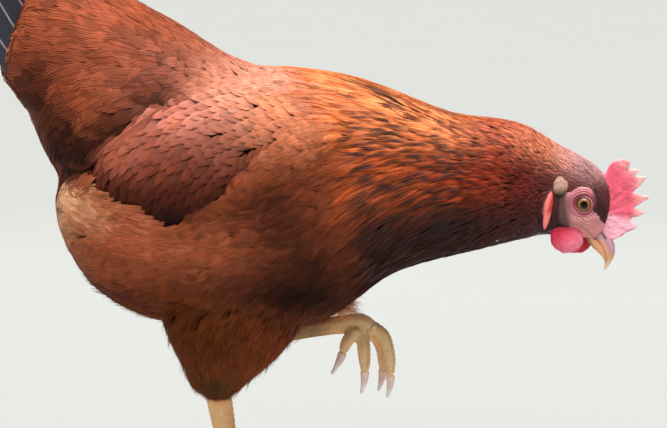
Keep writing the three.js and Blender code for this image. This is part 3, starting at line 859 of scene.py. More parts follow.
# the wing's feathers stand in rows: where the first is and which way the next ones lie, seen from the side,
# how far down they go, the steps in a row and between rows, and where the fore steps pass into the rear ones
wingRows = {
    "start": (0.03, 0.31), "way": (-0.78, -0.62), "reach": 0.24, "columns": range(-20, 24),
    "across": 5.0 * mm, "fore": 5.2 * mm, "rear": 7.4 * mm, "passing": (0.03, 0.16), "uneven": 0.55 * mm,
}


def brickwork(surface, _, wanted, seed):
    # roots in offset rows across the lie of the folded wings, a little uneven
    dice = np.random.default_rng(seed)
    start, way = np.array(wingRows["start"]), unit(np.array(wingRows["way"]))
    over = np.array((-way[1], way[0]))
    spots, run, row = [], 0.0, 0
    while run < wingRows["reach"]:
        for column in wingRows["columns"]:
            flat = start + way * run + over * (column + 0.5 * (row % 2)) * wingRows["across"]
            x, z = flat + dice.normal(0, wingRows["uneven"], 2)
            for side in sides.values():
                hit = surface.tree.ray_cast((x, side * 0.2, z), (0, -side, 0))[0]
                if hit:
                    spots.append(hit[:])
        run += blend(wingRows["fore"], wingRows["rear"], ease(run, *wingRows["passing"]))
        row += 1
    at, _, index, share = surface.nearest(np.array(spots))
    keep = surface.value(wanted, index, share) > 0.4
    return at[keep], index[keep], share[keep]


def layFeathers(surface, lieOf, roots, sizes, dice, rows=6):
    # walks each feather's middle line over the surface from its root, rising out of the coat to its tip
    length, depth, droop, lift = (sizes[k] for k in ("length", "depth", "droop", "lift"))
    at, normal, _, _ = surface.nearest(roots)
    way = lieOf.at(at, normal)
    turn = dice.normal(0, 1, len(at))[:, None] * sizes["swing"][:, None]
    way = unit(way + np.cross(normal, way) * turn)
    steps = np.linspace(0, 1, rows)
    steep = sizes.get("steep", 4)
    profile = [-depth * (1 - step) ** steep + lift * step ** 2.5 for step in steps]
    spots, ups = [at + normal * profile[0][:, None]], [normal]
    for row in range(1, rows):
        run = (length * (steps[row] - steps[row - 1]))[:, None]
        straight = spots[-1] + way * run
        near, nextNormal, _, _ = surface.nearest(straight)
        height = ((straight - near) * nextNormal).sum(1)
        height = np.maximum(profile[row], np.minimum(height, profile[row] + 20 * mm) - droop * run[:, 0])
        spot = near + nextNormal * height[:, None]
        nextWay = unit(spot - spots[-1])
        fresh = lieOf.at(near, nextNormal)
        fresh = unit(fresh + np.cross(nextNormal, fresh) * turn)
        flat = nextWay - nextNormal * dot(nextWay, nextNormal)
        follow = np.clip(droop * 1.2, 0, 0.6)[:, None]
        way = unit(blend(unit(flat), fresh, follow))
        spots.append(spot)
        ups.append(nextNormal)
    centres, ups = np.stack(spots, 1), np.stack(ups, 1)
    along = unit(np.gradient(centres, axis=1))
    ups = unit(ups - along * dot(ups, along))
    across = np.cross(along, ups)
    roll = (dice.normal(0, 1, len(at)) * sizes["roll"])[:, None, None]
    cosine, sine = np.cos(roll), np.sin(roll)
    return centres, unit(across * cosine + ups * sine), unit(ups * cosine - across * sine)


def vaneMesh(name, batches):
    # batches are lists of vertex places, triangles, vane places, bake places, dyes and own numbers
    places, tris, vanes, bakes, tints, owns = (np.concatenate(part) for part in zip(*shifted(batches)))
    mesh = bpy.data.meshes.new(name)
    mesh.vertices.add(len(places))
    mesh.vertices.foreach_set("co", places.astype(np.float32).ravel())
    mesh.loops.add(tris.size)
    mesh.loops.foreach_set("vertex_index", tris.astype(np.int32).ravel())
    mesh.polygons.add(len(tris))
    mesh.polygons.foreach_set("loop_start", np.arange(0, tris.size, 3, dtype=np.int32))
    corner = tris.ravel()
    for mapName, spots in (("OFBake", bakes), ("vane", vanes)):
        layer = mesh.uv_layers.new(name=mapName, do_init=False)
        layer.data.foreach_set("uv", spots[corner].astype(np.float32).ravel())
    putDye(mesh, tints)
    own = mesh.attributes.new("own", "FLOAT", "POINT")
    own.data.foreach_set("value", owns.astype(np.float32))
    mesh.update(calc_edges=True)
    mesh.validate()
    return mesh


def shifted(batches):
    start = 0
    for places, tris, *rest in batches:
        yield places, tris + start, *rest
        start += len(places)


bakePatch = 0.003  # each feather's size on the map that its colours are baked from


def grow(template, centres, across, ups, sizes, tint, bake, dice, scheme, roots):
    # the template is bent along every feather's middle line
    count, rows = len(centres), centres.shape[1] - 1
    u, t = template["u"], template["t"]
    place = np.clip(t * rows, 0, rows - 1e-6)
    low = place.astype(int)
    share = (place - low)[None, :, None]
    pick = [part[:, low] * (1 - share) + part[:, low + 1] * share for part in (centres, across, ups)]
    width, camber = sizes["width"][:, None], sizes["camber"][:, None]
    half = width / 2 * template["outline"]
    drop = -camber * width * (u * template["outline"]) ** 2 + template["drop"] * width
    spots = pick[0] + pick[1] * (u * half)[..., None] + pick[2] * drop[..., None]
    own = dice.random(count)
    colour = scheme(tint, template, dice, roots)
    tris = template["tris"][None] + (np.arange(count) * len(u))[:, None, None]
    vane = np.stack([np.tile(u / 2 + 0.5, (count, 1)), np.tile(t, (count, 1))], -1)
    patch = np.stack([u / 2, t - 0.5], 1) * bakePatch
    baked = bake[:, None] + patch[None]
    owns = np.repeat(own, len(u))
    flat = [part.reshape(-1, part.shape[-1]) for part in (spots, tris, vane, baked, colour)]
    return [*flat, owns]


def plainScheme(tip, root, vary, strands, rim=0.0, mark=None, stem=None):
    # darker at the root, as the feather's own darker base and as painted shade from the feathers over it;
    # paler at the tip; every feather and every strand of it a little different
    def scheme(tint, template, dice, roots):
        u, t, bone = template["u"], template["t"], template["bone"]
        count = len(tint)
        tone = 1 + dice.normal(0, vary, count)
        warm = dice.normal(0, 0.04, count)
        base = tint * tone[:, None] * np.stack([1 + warm, np.ones(count), 1 - warm], 1)
        # the root's darkening is partly painted shade
        rootDarkAndShade = root + (1 - root) * ease(t, 0.15, 0.75)
        flip = np.where(dice.random(count) < 0.5, 1, -1) * dice.uniform(0.5, 1.5, count)
        streak = 1 + strands * flip[:, None] * (template["strand"] * (1 - bone))[None]
        colour = base[:, None] * (rootDarkAndShade[None] * streak)[..., None]
        edge = np.maximum(tip * ease(t + 0.12 * np.abs(u) ** 2, 0.84, 1.05),
                          rim * ease(np.abs(u), 0.6, 1.0) * ease(t, 0.2, 0.7))
        light = np.clip(base.mean(1) * 3.5, 0.05, 1)[:, None]
        pale = blend(base * 2.1, dyes["tipPale"] * tone[:, None], 0.12 * light)
        colour = blend(colour, pale[:, None], edge[None, :, None])
        if mark:
            marked = mark(roots) * (dice.random(count) < 0.6) * dice.uniform(0.75, 1.0, count)
            spot = ease(np.abs(u), 0.95, 0.45) * ease(t, 0.4, 0.6) * ease(t, 1.0, 0.92)
            colour = blend(colour, dyes["black"], (marked[:, None] * spot)[..., None])
        if stem:
            colour = blend(colour, (dyes[stem] * light)[:, None], (bone * 0.6)[None, :, None])
        return colour
    return scheme


print("helpers ready")

# the outer surface of the coat

coatParts = ["trunk", "neck", "head", "rump", "eye_right", "eye_left", "thigh_right", "thigh_left",
             "wing_right", "wing_left"]
bodyParts = [name for name in coatParts if name not in ("head", "eye_right", "eye_left")]
softParts = ["comb", "wattle_right", "wattle_left", "earlobe_right", "earlobe_left"]
legNames = ["shank_right", "shank_left"] + [f"toe_{name}_{k}" for name in sides for k in (1, 2, 3, 4)]
legTree = treeOf(*legNames)
coatShape = voxelled(cadCopy(*coatParts, grow=0.4 * mm), 2.5 * mm, 5)
coatSurface = Surface(coatShape)
lieOfCoat = sideLie(coatSurface, lie)

tractNames = list(nodeTrees)
tractAt = {name: i for i, name in enumerate(tractNames)}


def nearestTract(places):
    # 1 for the tract that each place is in and 0 for the others
    apart = np.stack([distanceTo(nodeTrees[name], places) for name in tractNames], 1)
    return np.eye(len(tractNames))[apart.argmin(1)]


def allIn(tract, surface):
    return np.tile(np.eye(len(tractNames))[tractAt[tract]], (len(surface.places), 1))


def byTract(share):
    return {name: share[:, i] for name, i in tractAt.items()}


tractShare = nearestTract(coatSurface.places)
links = np.concatenate([coatSurface.tris[:, pair] for pair in ([0, 1], [1, 2], [2, 0])])
for _ in range(3):
    total, weight = tractShare.copy(), np.ones(len(tractShare))
    np.add.at(total, links[:, 0], tractShare[links[:, 1]])
    np.add.at(weight, links[:, 0], 1)
    tractShare = total / weight[:, None]
print("coat surface:", len(coatSurface.places), "points")

# the skin: body, head and legs are shaped apart, each as finely as it needs, and made one

def inset(shape, depthOf):
    places, ways = placesOf(shape), normalsOf(shape)
    putPlaces(shape, places - ways * depthOf(places)[:, None])
    return shape


def bodySkin():
    shape = voxelled(cadCopy(*bodyParts, grow=0.4 * mm), 3 * mm, 8)
    inset(shape, lambda places: coatDepth(places) + 3 * mm * ease(places[:, 0], 0.13, 0.165))
    return voxelled(shape, 3.2 * mm, 2)


# the radius of an eye's globe and how far its middle lies from the middle plane, in mm
eye = {"globe": 7.0, "depth": 12.5, "segments": 64, "rings": 40}
face = {
    "lidAcross": 5.25, "lidUp": 4.8, "lidTilt": math.radians(-18),  # half the opening of the lids, in mm
    "foldGap": 1.75, "foldHeight": 0.24, "foldReach": 10.0, "wrinkleGap": 1.7, "wrinkleShare": 1.6,
    "mouth": [(-8.5, -12.4), (-2.4, -15.0), (1.8, -18.2), (5.3, -21.4), (10.2, -26.4), (12.5, -29.0)],
}
fleshDyes = shades(
    face="ffb0b6", lid="d07884", corner="4a2624", tan="ffa8a4", rim="3e1d1c", brow="502832", gap="3a1f1c",
    comb="ea6078", combPale="ffd0c4", combLow="ffbccc", combDeep="c8405a",
    wattle="e03655", wattleFar="c0203a", wattlePink="f07890", lobe="ee8078", lobeRed="c03430")


# where the head's skin takes over from the neck's
neckCut = {"at": (0.135, 0, 0.225), "way": (0.976, 0, 0.216)}


def headSkin():
    neckEnd = keepFrom(cadCopy("neck", grow=0.4 * mm), neckCut["at"], neckCut["way"])
    soft = cadCopy("head", "eye_right", "eye_left", grow=0.4 * mm)
    for name in softParts:
        soft.from_mesh(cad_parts[name].data)
    joined = bpy.data.meshes.new("draft")
    neckEnd.to_mesh(joined)
    soft.from_mesh(joined)
    bmesh.ops.remove_doubles(soft, verts=soft.verts, dist=weld)
    soft.normal_update()
    shape = voxelled(soft, 0.62 * mm, 2)
    gaps = toFlesh(placesOf(shape), "comb", "wattle", "lobe")
    plain = [vert for vert, gap in zip(shape.verts, gaps) if gap > 0.8 * mm]
    smoothed(shape, 22, plain)
    smoothed(shape, 2)
    return shape


def refineEyes(shape):
    # finer faces round the eyes, in two steps

    def nearEye(spot, reach):
        return abs(spot.y) > 9 * mm and math.hypot(spot.x - eyeX, spot.z - eyeZ) < reach * mm

    for reach in (11.5, 6.6):
        edges = [edge for edge in shape.edges if nearEye((edge.verts[0].co + edge.verts[1].co) / 2, reach)]
        bmesh.ops.subdivide_edges(shape, edges=edges, cuts=1, use_grid_fill=True)
    shape.normal_update()
    return smoothed(shape, 4, [vert for vert in shape.verts if nearEye(vert.co, 13)])


def lidRing(x, z):
    # how far out from the lids a place is, on rings that are wider apart up and back
    far = np.hypot(x, z)
    return np.hypot((x + 0.06 * far) / 1.06, (z - 0.12 * far) / 0.97)


def faceFolds(places):
    # rings round the lids and slanting wrinkles below them, as waves from -1 to 1
    x, z = offEye(places)
    ring = lidRing(x, z)
    folds = wave(ring + grain(places, 6 * mm, 1) * 0.5 - 5.6, face["foldGap"])
    slant = x * 0.45 + z * 0.89 + grain(places, 5 * mm, 2) * 1.5
    return ring, folds, wave(slant, face["wrinkleGap"])


def fromMouth(places):
    # how far a place is from the crease that runs back from the beak, in mm
    return toLine(np.stack(offEye(places), 1), face["mouth"])


def shapeFace(shape):
    places, ways = placesOf(shape), normalsOf(shape)
    x, z = offEye(places)
    outward = outwardOf(places, ways)
    onSide = ease(outward, 0.15, 0.5) * ease(np.abs(places[:, 1]), 8 * mm, 12 * mm)
    ring, folds, wrinkles = faceFolds(places)
    ringShare = ease(ring, 5.0, 5.8) * ease(ring, face["foldReach"] + 1.5, face["foldReach"] - 2.5)
    wrinkleShare = ease(z, -8.5, -11) * ease(z, -24, -18) * bareFace(places)
    rise = face["foldHeight"] * (folds * ringShare + wrinkles * wrinkleShare * face["wrinkleShare"])
    mouth = fromMouth(places)
    rise -= 0.6 * np.exp(-(mouth / 0.55) ** 2) * ease(z, -12, -18)
    rise += 0.35 * np.exp(-((mouth - 1.5) / 0.9) ** 2)
    places = places + ways * (rise * onSide * mm)[:, None]

    # the lids close round the eyeball, with a rolled edge
    turn = face["lidTilt"]
    lidX, lidZ = x * math.cos(turn) + z * math.sin(turn), z * math.cos(turn) - x * math.sin(turn)
    ring = np.hypot(lidX / face["lidAcross"], lidZ / face["lidUp"])
    radius = np.minimum(np.hypot(x, z), eye["globe"] - 0.1)
    ball = eye["depth"] + np.sqrt(eye["globe"] ** 2 - radius ** 2)
    side = np.sign(places[:, 1])
    deep = np.abs(places[:, 1]) / mm
    inEye = (ring < 1.75) & (outward > 0.1) & (deep > 9)
    roll = ball + 0.35 + 0.55 * np.sin(np.pi * np.clip((ring - 0.97) / 0.5, 0, 1))
    lid = np.where(ring < 0.97, ball - 1.2, blend(roll, deep, ease(ring, 1.12, 1.7)))
    lid = blend(ball - 1.2, lid, ease(ring, 0.94, 1.0))
    deep = np.where(inEye, lid, deep)
    places[:, 1] = side * deep * mm
    putPlaces(shape, places)


def shapeSoftFlesh(shape):
    # the comb's pebbled plate and the folds of the wattles
    places, ways = placesOf(shape), normalsOf(shape)
    comb = ease(distanceTo(fleshTrees["comb"], places), 1.2 * mm, 0.5 * mm)
    wattle = ease(distanceTo(fleshTrees["wattle"], places), 1.2 * mm, 0.5 * mm)
    x, z = offEye(places)
    spoke = np.arctan2(z + 6, x - 8)
    ribs = np.cos(spoke * 17 + grain(places, 9 * mm, 4) * 3)
    pebbles = grain(places, 1.7 * mm, 5)
    waves = np.cos(x * 0.9 + grain(places, 7 * mm, 6) * 3.2)
    rise = comb * (0.22 * ribs + 0.28 * pebbles) + wattle * (0.22 * pebbles + 0.2 * waves)
    putPlaces(shape, places + ways * (rise * mm)[:, None])


def united(*shapes):
    whole = pieceFrom(shapes[0], "skin")
    for shape in shapes[1:]:
        part = pieceFrom(shape, "part")
        join = whole.modifiers.new("join", "BOOLEAN")
        join.operation, join.solver, join.object = "UNION", "MANIFOLD", part
        graph = bpy.context.evaluated_depsgraph_get()
        mesh = bpy.data.meshes.new_from_object(whole.evaluated_get(graph))
        whole.modifiers.clear()
        whole.data = mesh
        bpy.data.objects.remove(part)
    whole.data.materials.clear()
    whole.data.shade_smooth()
    return whole


headShape = headSkin()
headSurface = Surface(headShape)
print("head surface:", len(headSurface.places), "points")
refineEyes(headShape)
shapeFace(headShape)
shapeSoftFlesh(headShape)


def headDepth(places):
    depth = coatDepth(places)
    reach = toFlesh(places, "comb", "wattle", "lobe", "bill")
    return np.minimum(depth, np.maximum(reach * 0.6 - 0.3 * mm, 0)) + 3 * mm * ease(places[:, 0], 0.165, 0.13)


inset(headShape, headDepth)
legShape = voxelled(cadCopy(*legNames, grow=0.35 * mm), 1.0 * mm, 5)
legSurface = Surface(legShape)
skin = united(bodySkin(), headShape, legShape)
print("skin:", len(skin.data.polygons), "faces")


def faceTone(places):
    # pink round the eye, tan below it, dark under the brow; darker in the folds' troughs and lighter on their
    # crests, as painted shade and highlight; dark at the back, as the skin's own colour and painted shade;
    # and painted shade along the mouth
    x, z = offEye(places)
    ring, folds, wrinkles = faceFolds(places)
    tone = tinted(fleshDyes["face"], fleshDyes["tan"], ease(z, -4, -12))
    tone = tinted(tone, fleshDyes["lid"], ease(ring, 12, 9))
    # painted shade in the troughs of the folds round the lids and painted highlight on their crests
    tone = tone * (0.8 + 0.24 * folds * ease(ring, 11.5, 9.5))[:, None]
    tone = tinted(tone, fleshDyes["rim"], ease(ring, 5.6, 5.0) * 0.6)
    brow = ease(x, 4.5, 8.0) * ease(ring, 6.5, 8.0) * ease(z, -9, -3) * 0.85
    tone = tinted(tone, fleshDyes["brow"], brow)
    # painted shade and highlight along the wrinkles below the eye
    tone = tone * (1 + 0.36 * (wrinkles * ease(z, -8.5, -11)) * ease(x, 10, 2))[:, None]
    # darker at the back, the skin's own mauve-brown with painted shade
    back = ease(x + 0.15 * z, -7.5, -14.5) * ease(z, -22, -15)
    tone = tinted(tone, fleshDyes["corner"], back * 0.9)
    # painted shade along the mouth's crease
    mouth = np.exp(-(fromMouth(places) / 0.6) ** 2) * 0.5 * ease(z, -12, -20)
    return tinted(tone, fleshDyes["gap"], mouth)


def combTone(places):
    # paler towards the points and in front
    x, z = offEye(places)
    out = ease(np.hypot(x - 6, z - 2), 22, 40)
    tone = tinted(fleshDyes["comb"], fleshDyes["combPale"], out ** 2 * 0.75)
    tone = tinted(tone, fleshDyes["combLow"], ease(z + 0.25 * x, 0, -6) * 0.85)
    return tinted(tone, fleshDyes["combDeep"], ease(grain(places, 5 * mm, 3), 0.0, 0.6) * 0.4)


def wattleTone(places):
    x, z = offEye(places)
    # painted highlight on the lower front of the near wattle
    light = ease((x + 11) * 0.7 - (z + 24) * 0.7, -7, 7) * ease(places[:, 1], 2 * mm, -4 * mm)
    tone = tinted(fleshDyes["wattle"], fleshDyes["wattlePink"], light)
    # the far wattle darker, as painted shade
    far = ease(x, -4, 1) * ease(places[:, 1], -3 * mm, 1 * mm)
    return tinted(tone, fleshDyes["wattleFar"], far)


def lobeTone(places):
    x, z = offEye(places)
    red = ease(x - 0.25 * z, -26.5, -23.5) * ease(z, -9, -3)
    return tinted(fleshDyes["lobe"], fleshDyes["lobeRed"], red)


def skinDye(places):
    x, z = offEye(places)
    dye = coatDye(places, byTract(nearestTract(places))) * 0.85
    bare = bareFace(places) * ease(places[:, 0], 0.165, 0.172)
    dye = tinted(dye, faceTone(places), bare)
    # painted shade in the hollow below the lobe
    gap = np.exp(-(((x + 22) / 5) ** 2 + ((z + 15) / 8) ** 2)) * ease(places[:, 0], 0.16, 0.17)
    dye = tinted(dye, fleshDyes["gap"], gap * (1 - bare))

    reach = {name: distanceTo(fleshTrees[name], places) for name in ("comb", "wattle", "lobe", "bill")}
    onFlesh = {name: ease(reach[name], 1.3 * mm, 0.6 * mm) for name in ("comb", "wattle", "lobe")}
    onFlesh["wattle"] = onFlesh["wattle"] * ease(reach["bill"], 0.2 * mm, 1.0 * mm)
    for name, toneOf in (("comb", combTone), ("wattle", wattleTone), ("lobe", lobeTone)):
        dye = tinted(dye, toneOf(places), onFlesh[name])
    leg = ease(distanceTo(legTree, places), 1.2 * mm, 0.6 * mm)
    return tinted(dye, legDye(places), leg)


legDyes = shades(yellow="ffc88c", orange="ffae74", olive="8a7048", pale="ffd29c")


def legDye(places):
    patches = grain(places, 14 * mm, 8)
    dye = tinted(legDyes["yellow"], legDyes["orange"], ease(patches, -0.2, 0.5))
    raised = ease(places[:, 1], 8 * mm, 14 * mm)
    # the lifted leg's shank darker towards its back, under the belly, as painted shade
    olive = raised * ease(places[:, 0], 0.03, 0.005) * 0.8
    dye = tinted(dye, legDyes["olive"], olive)
    # the lifted foot paler towards its toes, as painted light
    return tinted(dye, legDyes["pale"], raised * ease(places[:, 0], 0.015, 0.035))


# roughness, pebbles per metre, their depth, gloss and how much light goes in
fleshFinishes = {
    "face skin": (0.55, 900, 0.00025, 0.4, 0.15),
    "comb skin": (0.5, 650, 0.0004, 0.4, 0.25),
    "leg skin": (0.55, 420, 0.0003, 0.4, 0.08),
}


def paintSkin(mesh):
    places = readAll(mesh.vertices, "co", 3, np.float32).reshape(-1, 3).astype(float)
    putDye(mesh, skinDye(places))

    # face and coat, comb and wattles, and legs each have their own surface
    legHere = distanceTo(legTree, places) < 0.9 * mm
    softHere = toFlesh(places, "comb", "wattle", "lobe") < 0.9 * mm
    kind = np.where(legHere, 2, np.where(softHere, 1, 0))
    for name, values in fleshFinishes.items():
        mesh.materials.append(fleshFinish(name, *values))
    corner = readAll(mesh.loops, "vertex_index")
    first = readAll(mesh.polygons, "loop_start")
    mesh.polygons.foreach_set("material_index", kind[corner[first]].astype(np.int32))


paintSkin(skin.data)
settle(skin, "face_skin", "trunk", "neck", "rump", "head", "comb", "wing_right", "wing_left", "thigh_right",
       "thigh_left", "wattle_right", "wattle_left", "earlobe_right", "earlobe_left", *legNames)
print("skin painted")


# eyes

# the eye's rings from its middle outwards: radius in cm and colour
irisRings = {
    0.0: "040303", 0.20: "060404", 0.23: "3a2112", 0.29: "6a4422", 0.37: "96703c", 0.43: "7a5530",
    0.48: "3c2012", 0.53: "1c0f0b",
}


def eyeFinish():
    finish = Finish("eye", Roughness=0.16, Coat_Weight=0.2, Coat_Roughness=0.03, Specular_IOR_Level=0.15)
    place = finish.split(finish.uv("gaze"))
    x, y = place.out("X") - 0.5, place.out("Y") - 0.5
    radius = (x * x + y * y) ** 0.5 * (2 * eye["globe"])
    turn = y.math("ARCTAN2", x)
    rays = finish.noise(finish.join(turn * 9.0, radius * 0.5), 1.0, 3.0, 0.6)
    rings = finish.noise(finish.join(radius * 1.4, turn * 0.4), 1.0, 2.0)
    colour = finish.ramp(radius * 0.1, *((place, shade(code)) for place, code in irisRings.items()))
    mottle = (rays - 0.5) * 0.7 + (rings - 0.5) * 0.3 + 1.0
    return finish.done(finish.scaled(colour, mottle))


def makeEye(name):
    shape = bmesh.new()
    segments = {"u_segments": eye["segments"], "v_segments": eye["rings"]}
    bmesh.ops.create_uvsphere(shape, radius=eye["globe"] * mm, **segments)
    bmesh.ops.rotate(shape, verts=shape.verts, matrix=Matrix.Rotation(math.radians(90), 3, "X"))
    bmesh.ops.translate(shape, verts=shape.verts, vec=eyeAt[name])
    layer = shape.loops.layers.uv.new("gaze")
    across = 2 * eye["globe"] * mm
    for part in shape.faces:
        for corner in part.loops:
            spot = corner.vert.co - eyeAt[name]
            corner[layer].uv = (spot.x / across + 0.5, spot.z / across + 0.5)
    piece = pieceFrom(shape, "eyeball_" + name)
    piece.data.materials.append(eyeMaterial)
    settle(piece, "eye", "eye_" + name)


eyeMaterial = eyeFinish()
for name in sides:
    makeEye(name)


# beak and claws

hornDyes = shades(lilac="c48f9c", peach="e0a070", tip="ffe8ca", base="4e2c30", orange="f8b080")
beak = {
    "way": (0.5, 0.866),  # it points forward by the first and down by the second
    "nostril": ((13.2, -20.2), (15.9, -24.6)), "flap": ((14.4, -19.6), (17.2, -24.0)),  # from the eye, in mm
}


def hornPiece(names, voxel, passes, pieceName, slot, finish, dyeOf, runOf, shaper, grow=0.15):
    shape = voxelled(cadCopy(*names, grow=grow * mm), voxel, passes)
    shaper(shape)
    places = placesOf(shape)
    runs = runOf(places)
    layer = shape.loops.layers.uv.new("run")
    for part in shape.faces:
        for corner in part.loops:
            corner[layer].uv = runs[corner.vert.index]
    piece = pieceFrom(shape, pieceName)
    putDye(piece.data, dyeOf(places))
    piece.data.materials.append(finish)
    settle(piece, slot, *names)


def alongBeak(places):
    # how far along the beak a place is, and how far above its run
    x, z = offEye(places)
    ahead, down = beak["way"]
    return x * ahead - z * down, x * down + z * ahead


def toNostril(places, line="nostril"):
    return segmentDistance(np.stack(offEye(places), 1), *beak[line])


def beakRun(places):
    forward, up = alongBeak(places)
    return np.stack([forward, np.arctan2(places[:, 1] / mm, up)], 1)


def upperDye(places):
    # lilac skin passes into grey-lilac horn on top, with an orange edge along the mouth and a pale tip
    forward, up = alongBeak(places)
    dye = tinted(hornDyes["orange"], hornDyes["peach"], ease(forward, 30, 40))
    top = np.maximum(ease(up, -2.2, 0.8) * ease(forward, 47, 39), ease(forward, 32, 26))
    dye = tinted(dye, hornDyes["lilac"], top)
    dye = tinted(dye, hornDyes["base"], ease(up, 2.8, 6.0) * 0.65 * ease(forward, 28, 34))
    dye = tinted(dye, hornDyes["tip"], ease(forward, 42, 48) * 0.75)
    # painted shade in the nostril
    return tinted(dye, hornDyes["base"], np.exp(-(toNostril(places) / 0.8) ** 2) * 0.9)


def lowerDye(places):
    forward, up = alongBeak(places)
    dye = tinted(hornDyes["orange"], hornDyes["tip"], ease(forward, 34, 44) * 0.5)
    # the lower half darker underneath, as painted shade
    dye = tinted(dye, hornDyes["base"], ease(up, -7.5, -9.5) * 0.6)
    return tinted(dye, hornDyes["base"], ease(forward, 26, 21) * 0.7)


def leaned(places, up):
    # moves places square to the beak's run, by as much as each is given
    ahead, down = beak["way"]
    return places + np.outer(up, (down, 0, ahead)) * mm


def closeLower(shape):
    # the lower half comes up to meet the upper one
    places = placesOf(shape)
    forward, up = alongBeak(places)
    lift = np.interp(forward, (22, 28, 32, 36), (0.3, 1.3, 1.5, 1.6)) * ease(up, -9.5, -5.5)
    putPlaces(shape, leaned(places, lift + np.interp(forward, (31, 36, 41, 44), (0, 1.1, 2.5, 3.0))))


def shapeUpper(shape):
    # its edge droops over the lower half, and a flap lies over each nostril
    places = placesOf(shape)
    forward, up = alongBeak(places)
    drop = np.interp(forward, (24, 28, 32, 36, 40, 44), (0.2, 0.4, 0.6, 1.2, 0.8, 0.3))
    putPlaces(shape, leaned(places, -drop * ease(up, 0.5, -3)))
    places, ways = placesOf(shape), normalsOf(shape)
    onSide = ease(np.abs(ways[:, 1]), 0.2, 0.6)
    rise = -0.9 * np.exp(-(toNostril(places) / 0.6) ** 2)
    rise = rise + 0.45 * np.exp(-(toNostril(places, "flap") / 0.8) ** 2)
    putPlaces(shape, places + ways * (rise * onSide * mm)[:, None])


beakHorn = hornFinish("beak horn", 0.38, 22)
hornPiece(["beak_upper"], 0.36 * mm, 7, "beak_top", "beak", beakHorn, upperDye, beakRun, shapeUpper)
hornPiece(["beak_lower"], 0.36 * mm, 7, "beak_bottom", "beak", beakHorn, lowerDye, beakRun, closeLower)

clawNames = [f"claw_{name}_{k}" for name in sides for k in (1, 2, 3, 4)]
clawDyes = shades(root="fcd8bc", horn="f4d4c8", tip="fff0e8")
clawEnds = []
for name in clawNames:
    clawEnds.append((np.array(middleOf(name.replace("claw", "toe"))), np.array(middleOf(name))))


def clawRun(places):
    # how far along its claw a place is, from the claw's middle
    apart = np.stack([np.linalg.norm(places - end, axis=1) for _, end in clawEnds], 1)
    own = apart.argmin(1)
    roots, ends = (np.array(part)[own] for part in zip(*clawEnds))
    along = dot(places - ends, unit(ends - roots))[:, 0] / mm
    return np.stack([along, places[:, 1] / mm + own], 1)


def clawDye(places):
    along = clawRun(places)[:, 0]
    dye = tinted(clawDyes["root"], clawDyes["horn"], ease(along, -5.5, -2.5))
    return tinted(dye, clawDyes["tip"], ease(along, -1, 5))


def fullClaws(shape):
    # thick roots and blunt points
    places = placesOf(shape)
    along = clawRun(places)[:, 0]
    more = 0.8 * ease(along, 3, -5) + 0.55 * ease(along, -4, 0)
    putPlaces(shape, places + normalsOf(shape) * (more * mm)[:, None])


clawHorn = hornFinish("claw horn", 0.4, 14)
hornPiece(clawNames, 0.4 * mm, 5, "claws_all", "claws", clawHorn, clawDye, clawRun, fullClaws, 0.35)
print("eyes, beak and claws made")

# length, width and gap between roots in mm; how much a feather arches across and hangs down, how far its tip
# lifts, in mm, and how much it turns aside and rolls
sizeNames = ("length", "width", "gap", "camber", "droop", "lift", "swing", "roll")
tracts = {name: dict(zip(sizeNames, values)) for name, values in {
    "trunk": (27, 10.0, 3.9, 0.05, 0.9, 0.28, 0.12, 0.05),
    "rump": (30, 12.0, 5.4, 0.05, 0.6, 0.3, 0.16, 0.04),
    "wing": (22, 8.5, 4.6, 0.08, 1.2, 0.9, 0.06, 0.01),
    "thigh": (19, 8.0, 4.0, 0.10, 0.6, 0.4, 0.16, 0.1),
    "neck": (22, 4.2, 2.9, 0.10, 0.4, 0.35, 0.07, 0.12),
    "head": (6, 1.8, 1.6, 0.12, 0.5, 0.2, 0.09, 0.14),
}.items()}


def graded(sizes, share, member, run, **ends):
    # some sizes pass from one value to another within a tract
    for key, (near, far) in ends.items():
        sizes[key] += share[:, tractAt[member]] * (blend(near, far, run) - tracts[member][key])


def sitting(count, **values):
    return {key: np.full(count, value) for key, value in values.items()}


def sizesAt(places, share, dice):
    # sizes in metres for feathers rooted at these places
    x, z = places[:, 0], places[:, 2]
    sizes = {key: sum(share[:, i] * tracts[name][key] for name, i in tractAt.items()) for key in sizeNames}
    graded(sizes, share, "neck", ease(x, 0.172, 0.055), length=(8, 40), width=(2.0, 6.2), gap=(1.8, 3.7))
    graded(sizes, share, "trunk", ease(z, 0.215, 0.275), length=(27, 17), width=(10, 8), gap=(3.9, 3.1))
    graded(sizes, share, "rump", ease(x, -0.05, -0.185), length=(20, 40), width=(9, 20), gap=(3.3, 7.4))
    down = ease(-x * 0.75 - z * 0.66, -0.145, -0.05)
    graded(sizes, share, "wing", down, length=(17, 27), width=(7.8, 7.2), gap=(4.9, 4.5))
    graded(sizes, share, "thigh", ease(z, 0.125, 0.08), length=(21, 9), width=(8.5, 3.4), gap=(4.2, 2.3))
    for key in ("length", "width", "gap", "lift"):
        sizes[key] = sizes[key] * mm
    room = np.maximum(toLine(places[:, [0, 2]], wingFoot[:8]) + 1 * mm, 8 * mm)
    onWing = share[:, tractAt["wing"]] > 0.5
    chance = np.where(onWing, 0.3, 1.0)  # wing feathers are more alike than the rest
    sizes["steep"] = np.where(onWing, 9, 6)  # and leave the skin more steeply
    sizes["length"] = sizes["length"] * (1 + chance * dice.uniform(-0.2, 0.2, len(places)))
    sizes["length"] = np.where(onWing, np.minimum(sizes["length"], room), sizes["length"])
    sizes["width"] = sizes["width"] * dice.uniform(0.85, 1.15, len(places))
    sizes["lift"] = sizes["lift"] * (1.1 + chance * dice.uniform(-0.9, 0.9, len(places)))
    return sizes


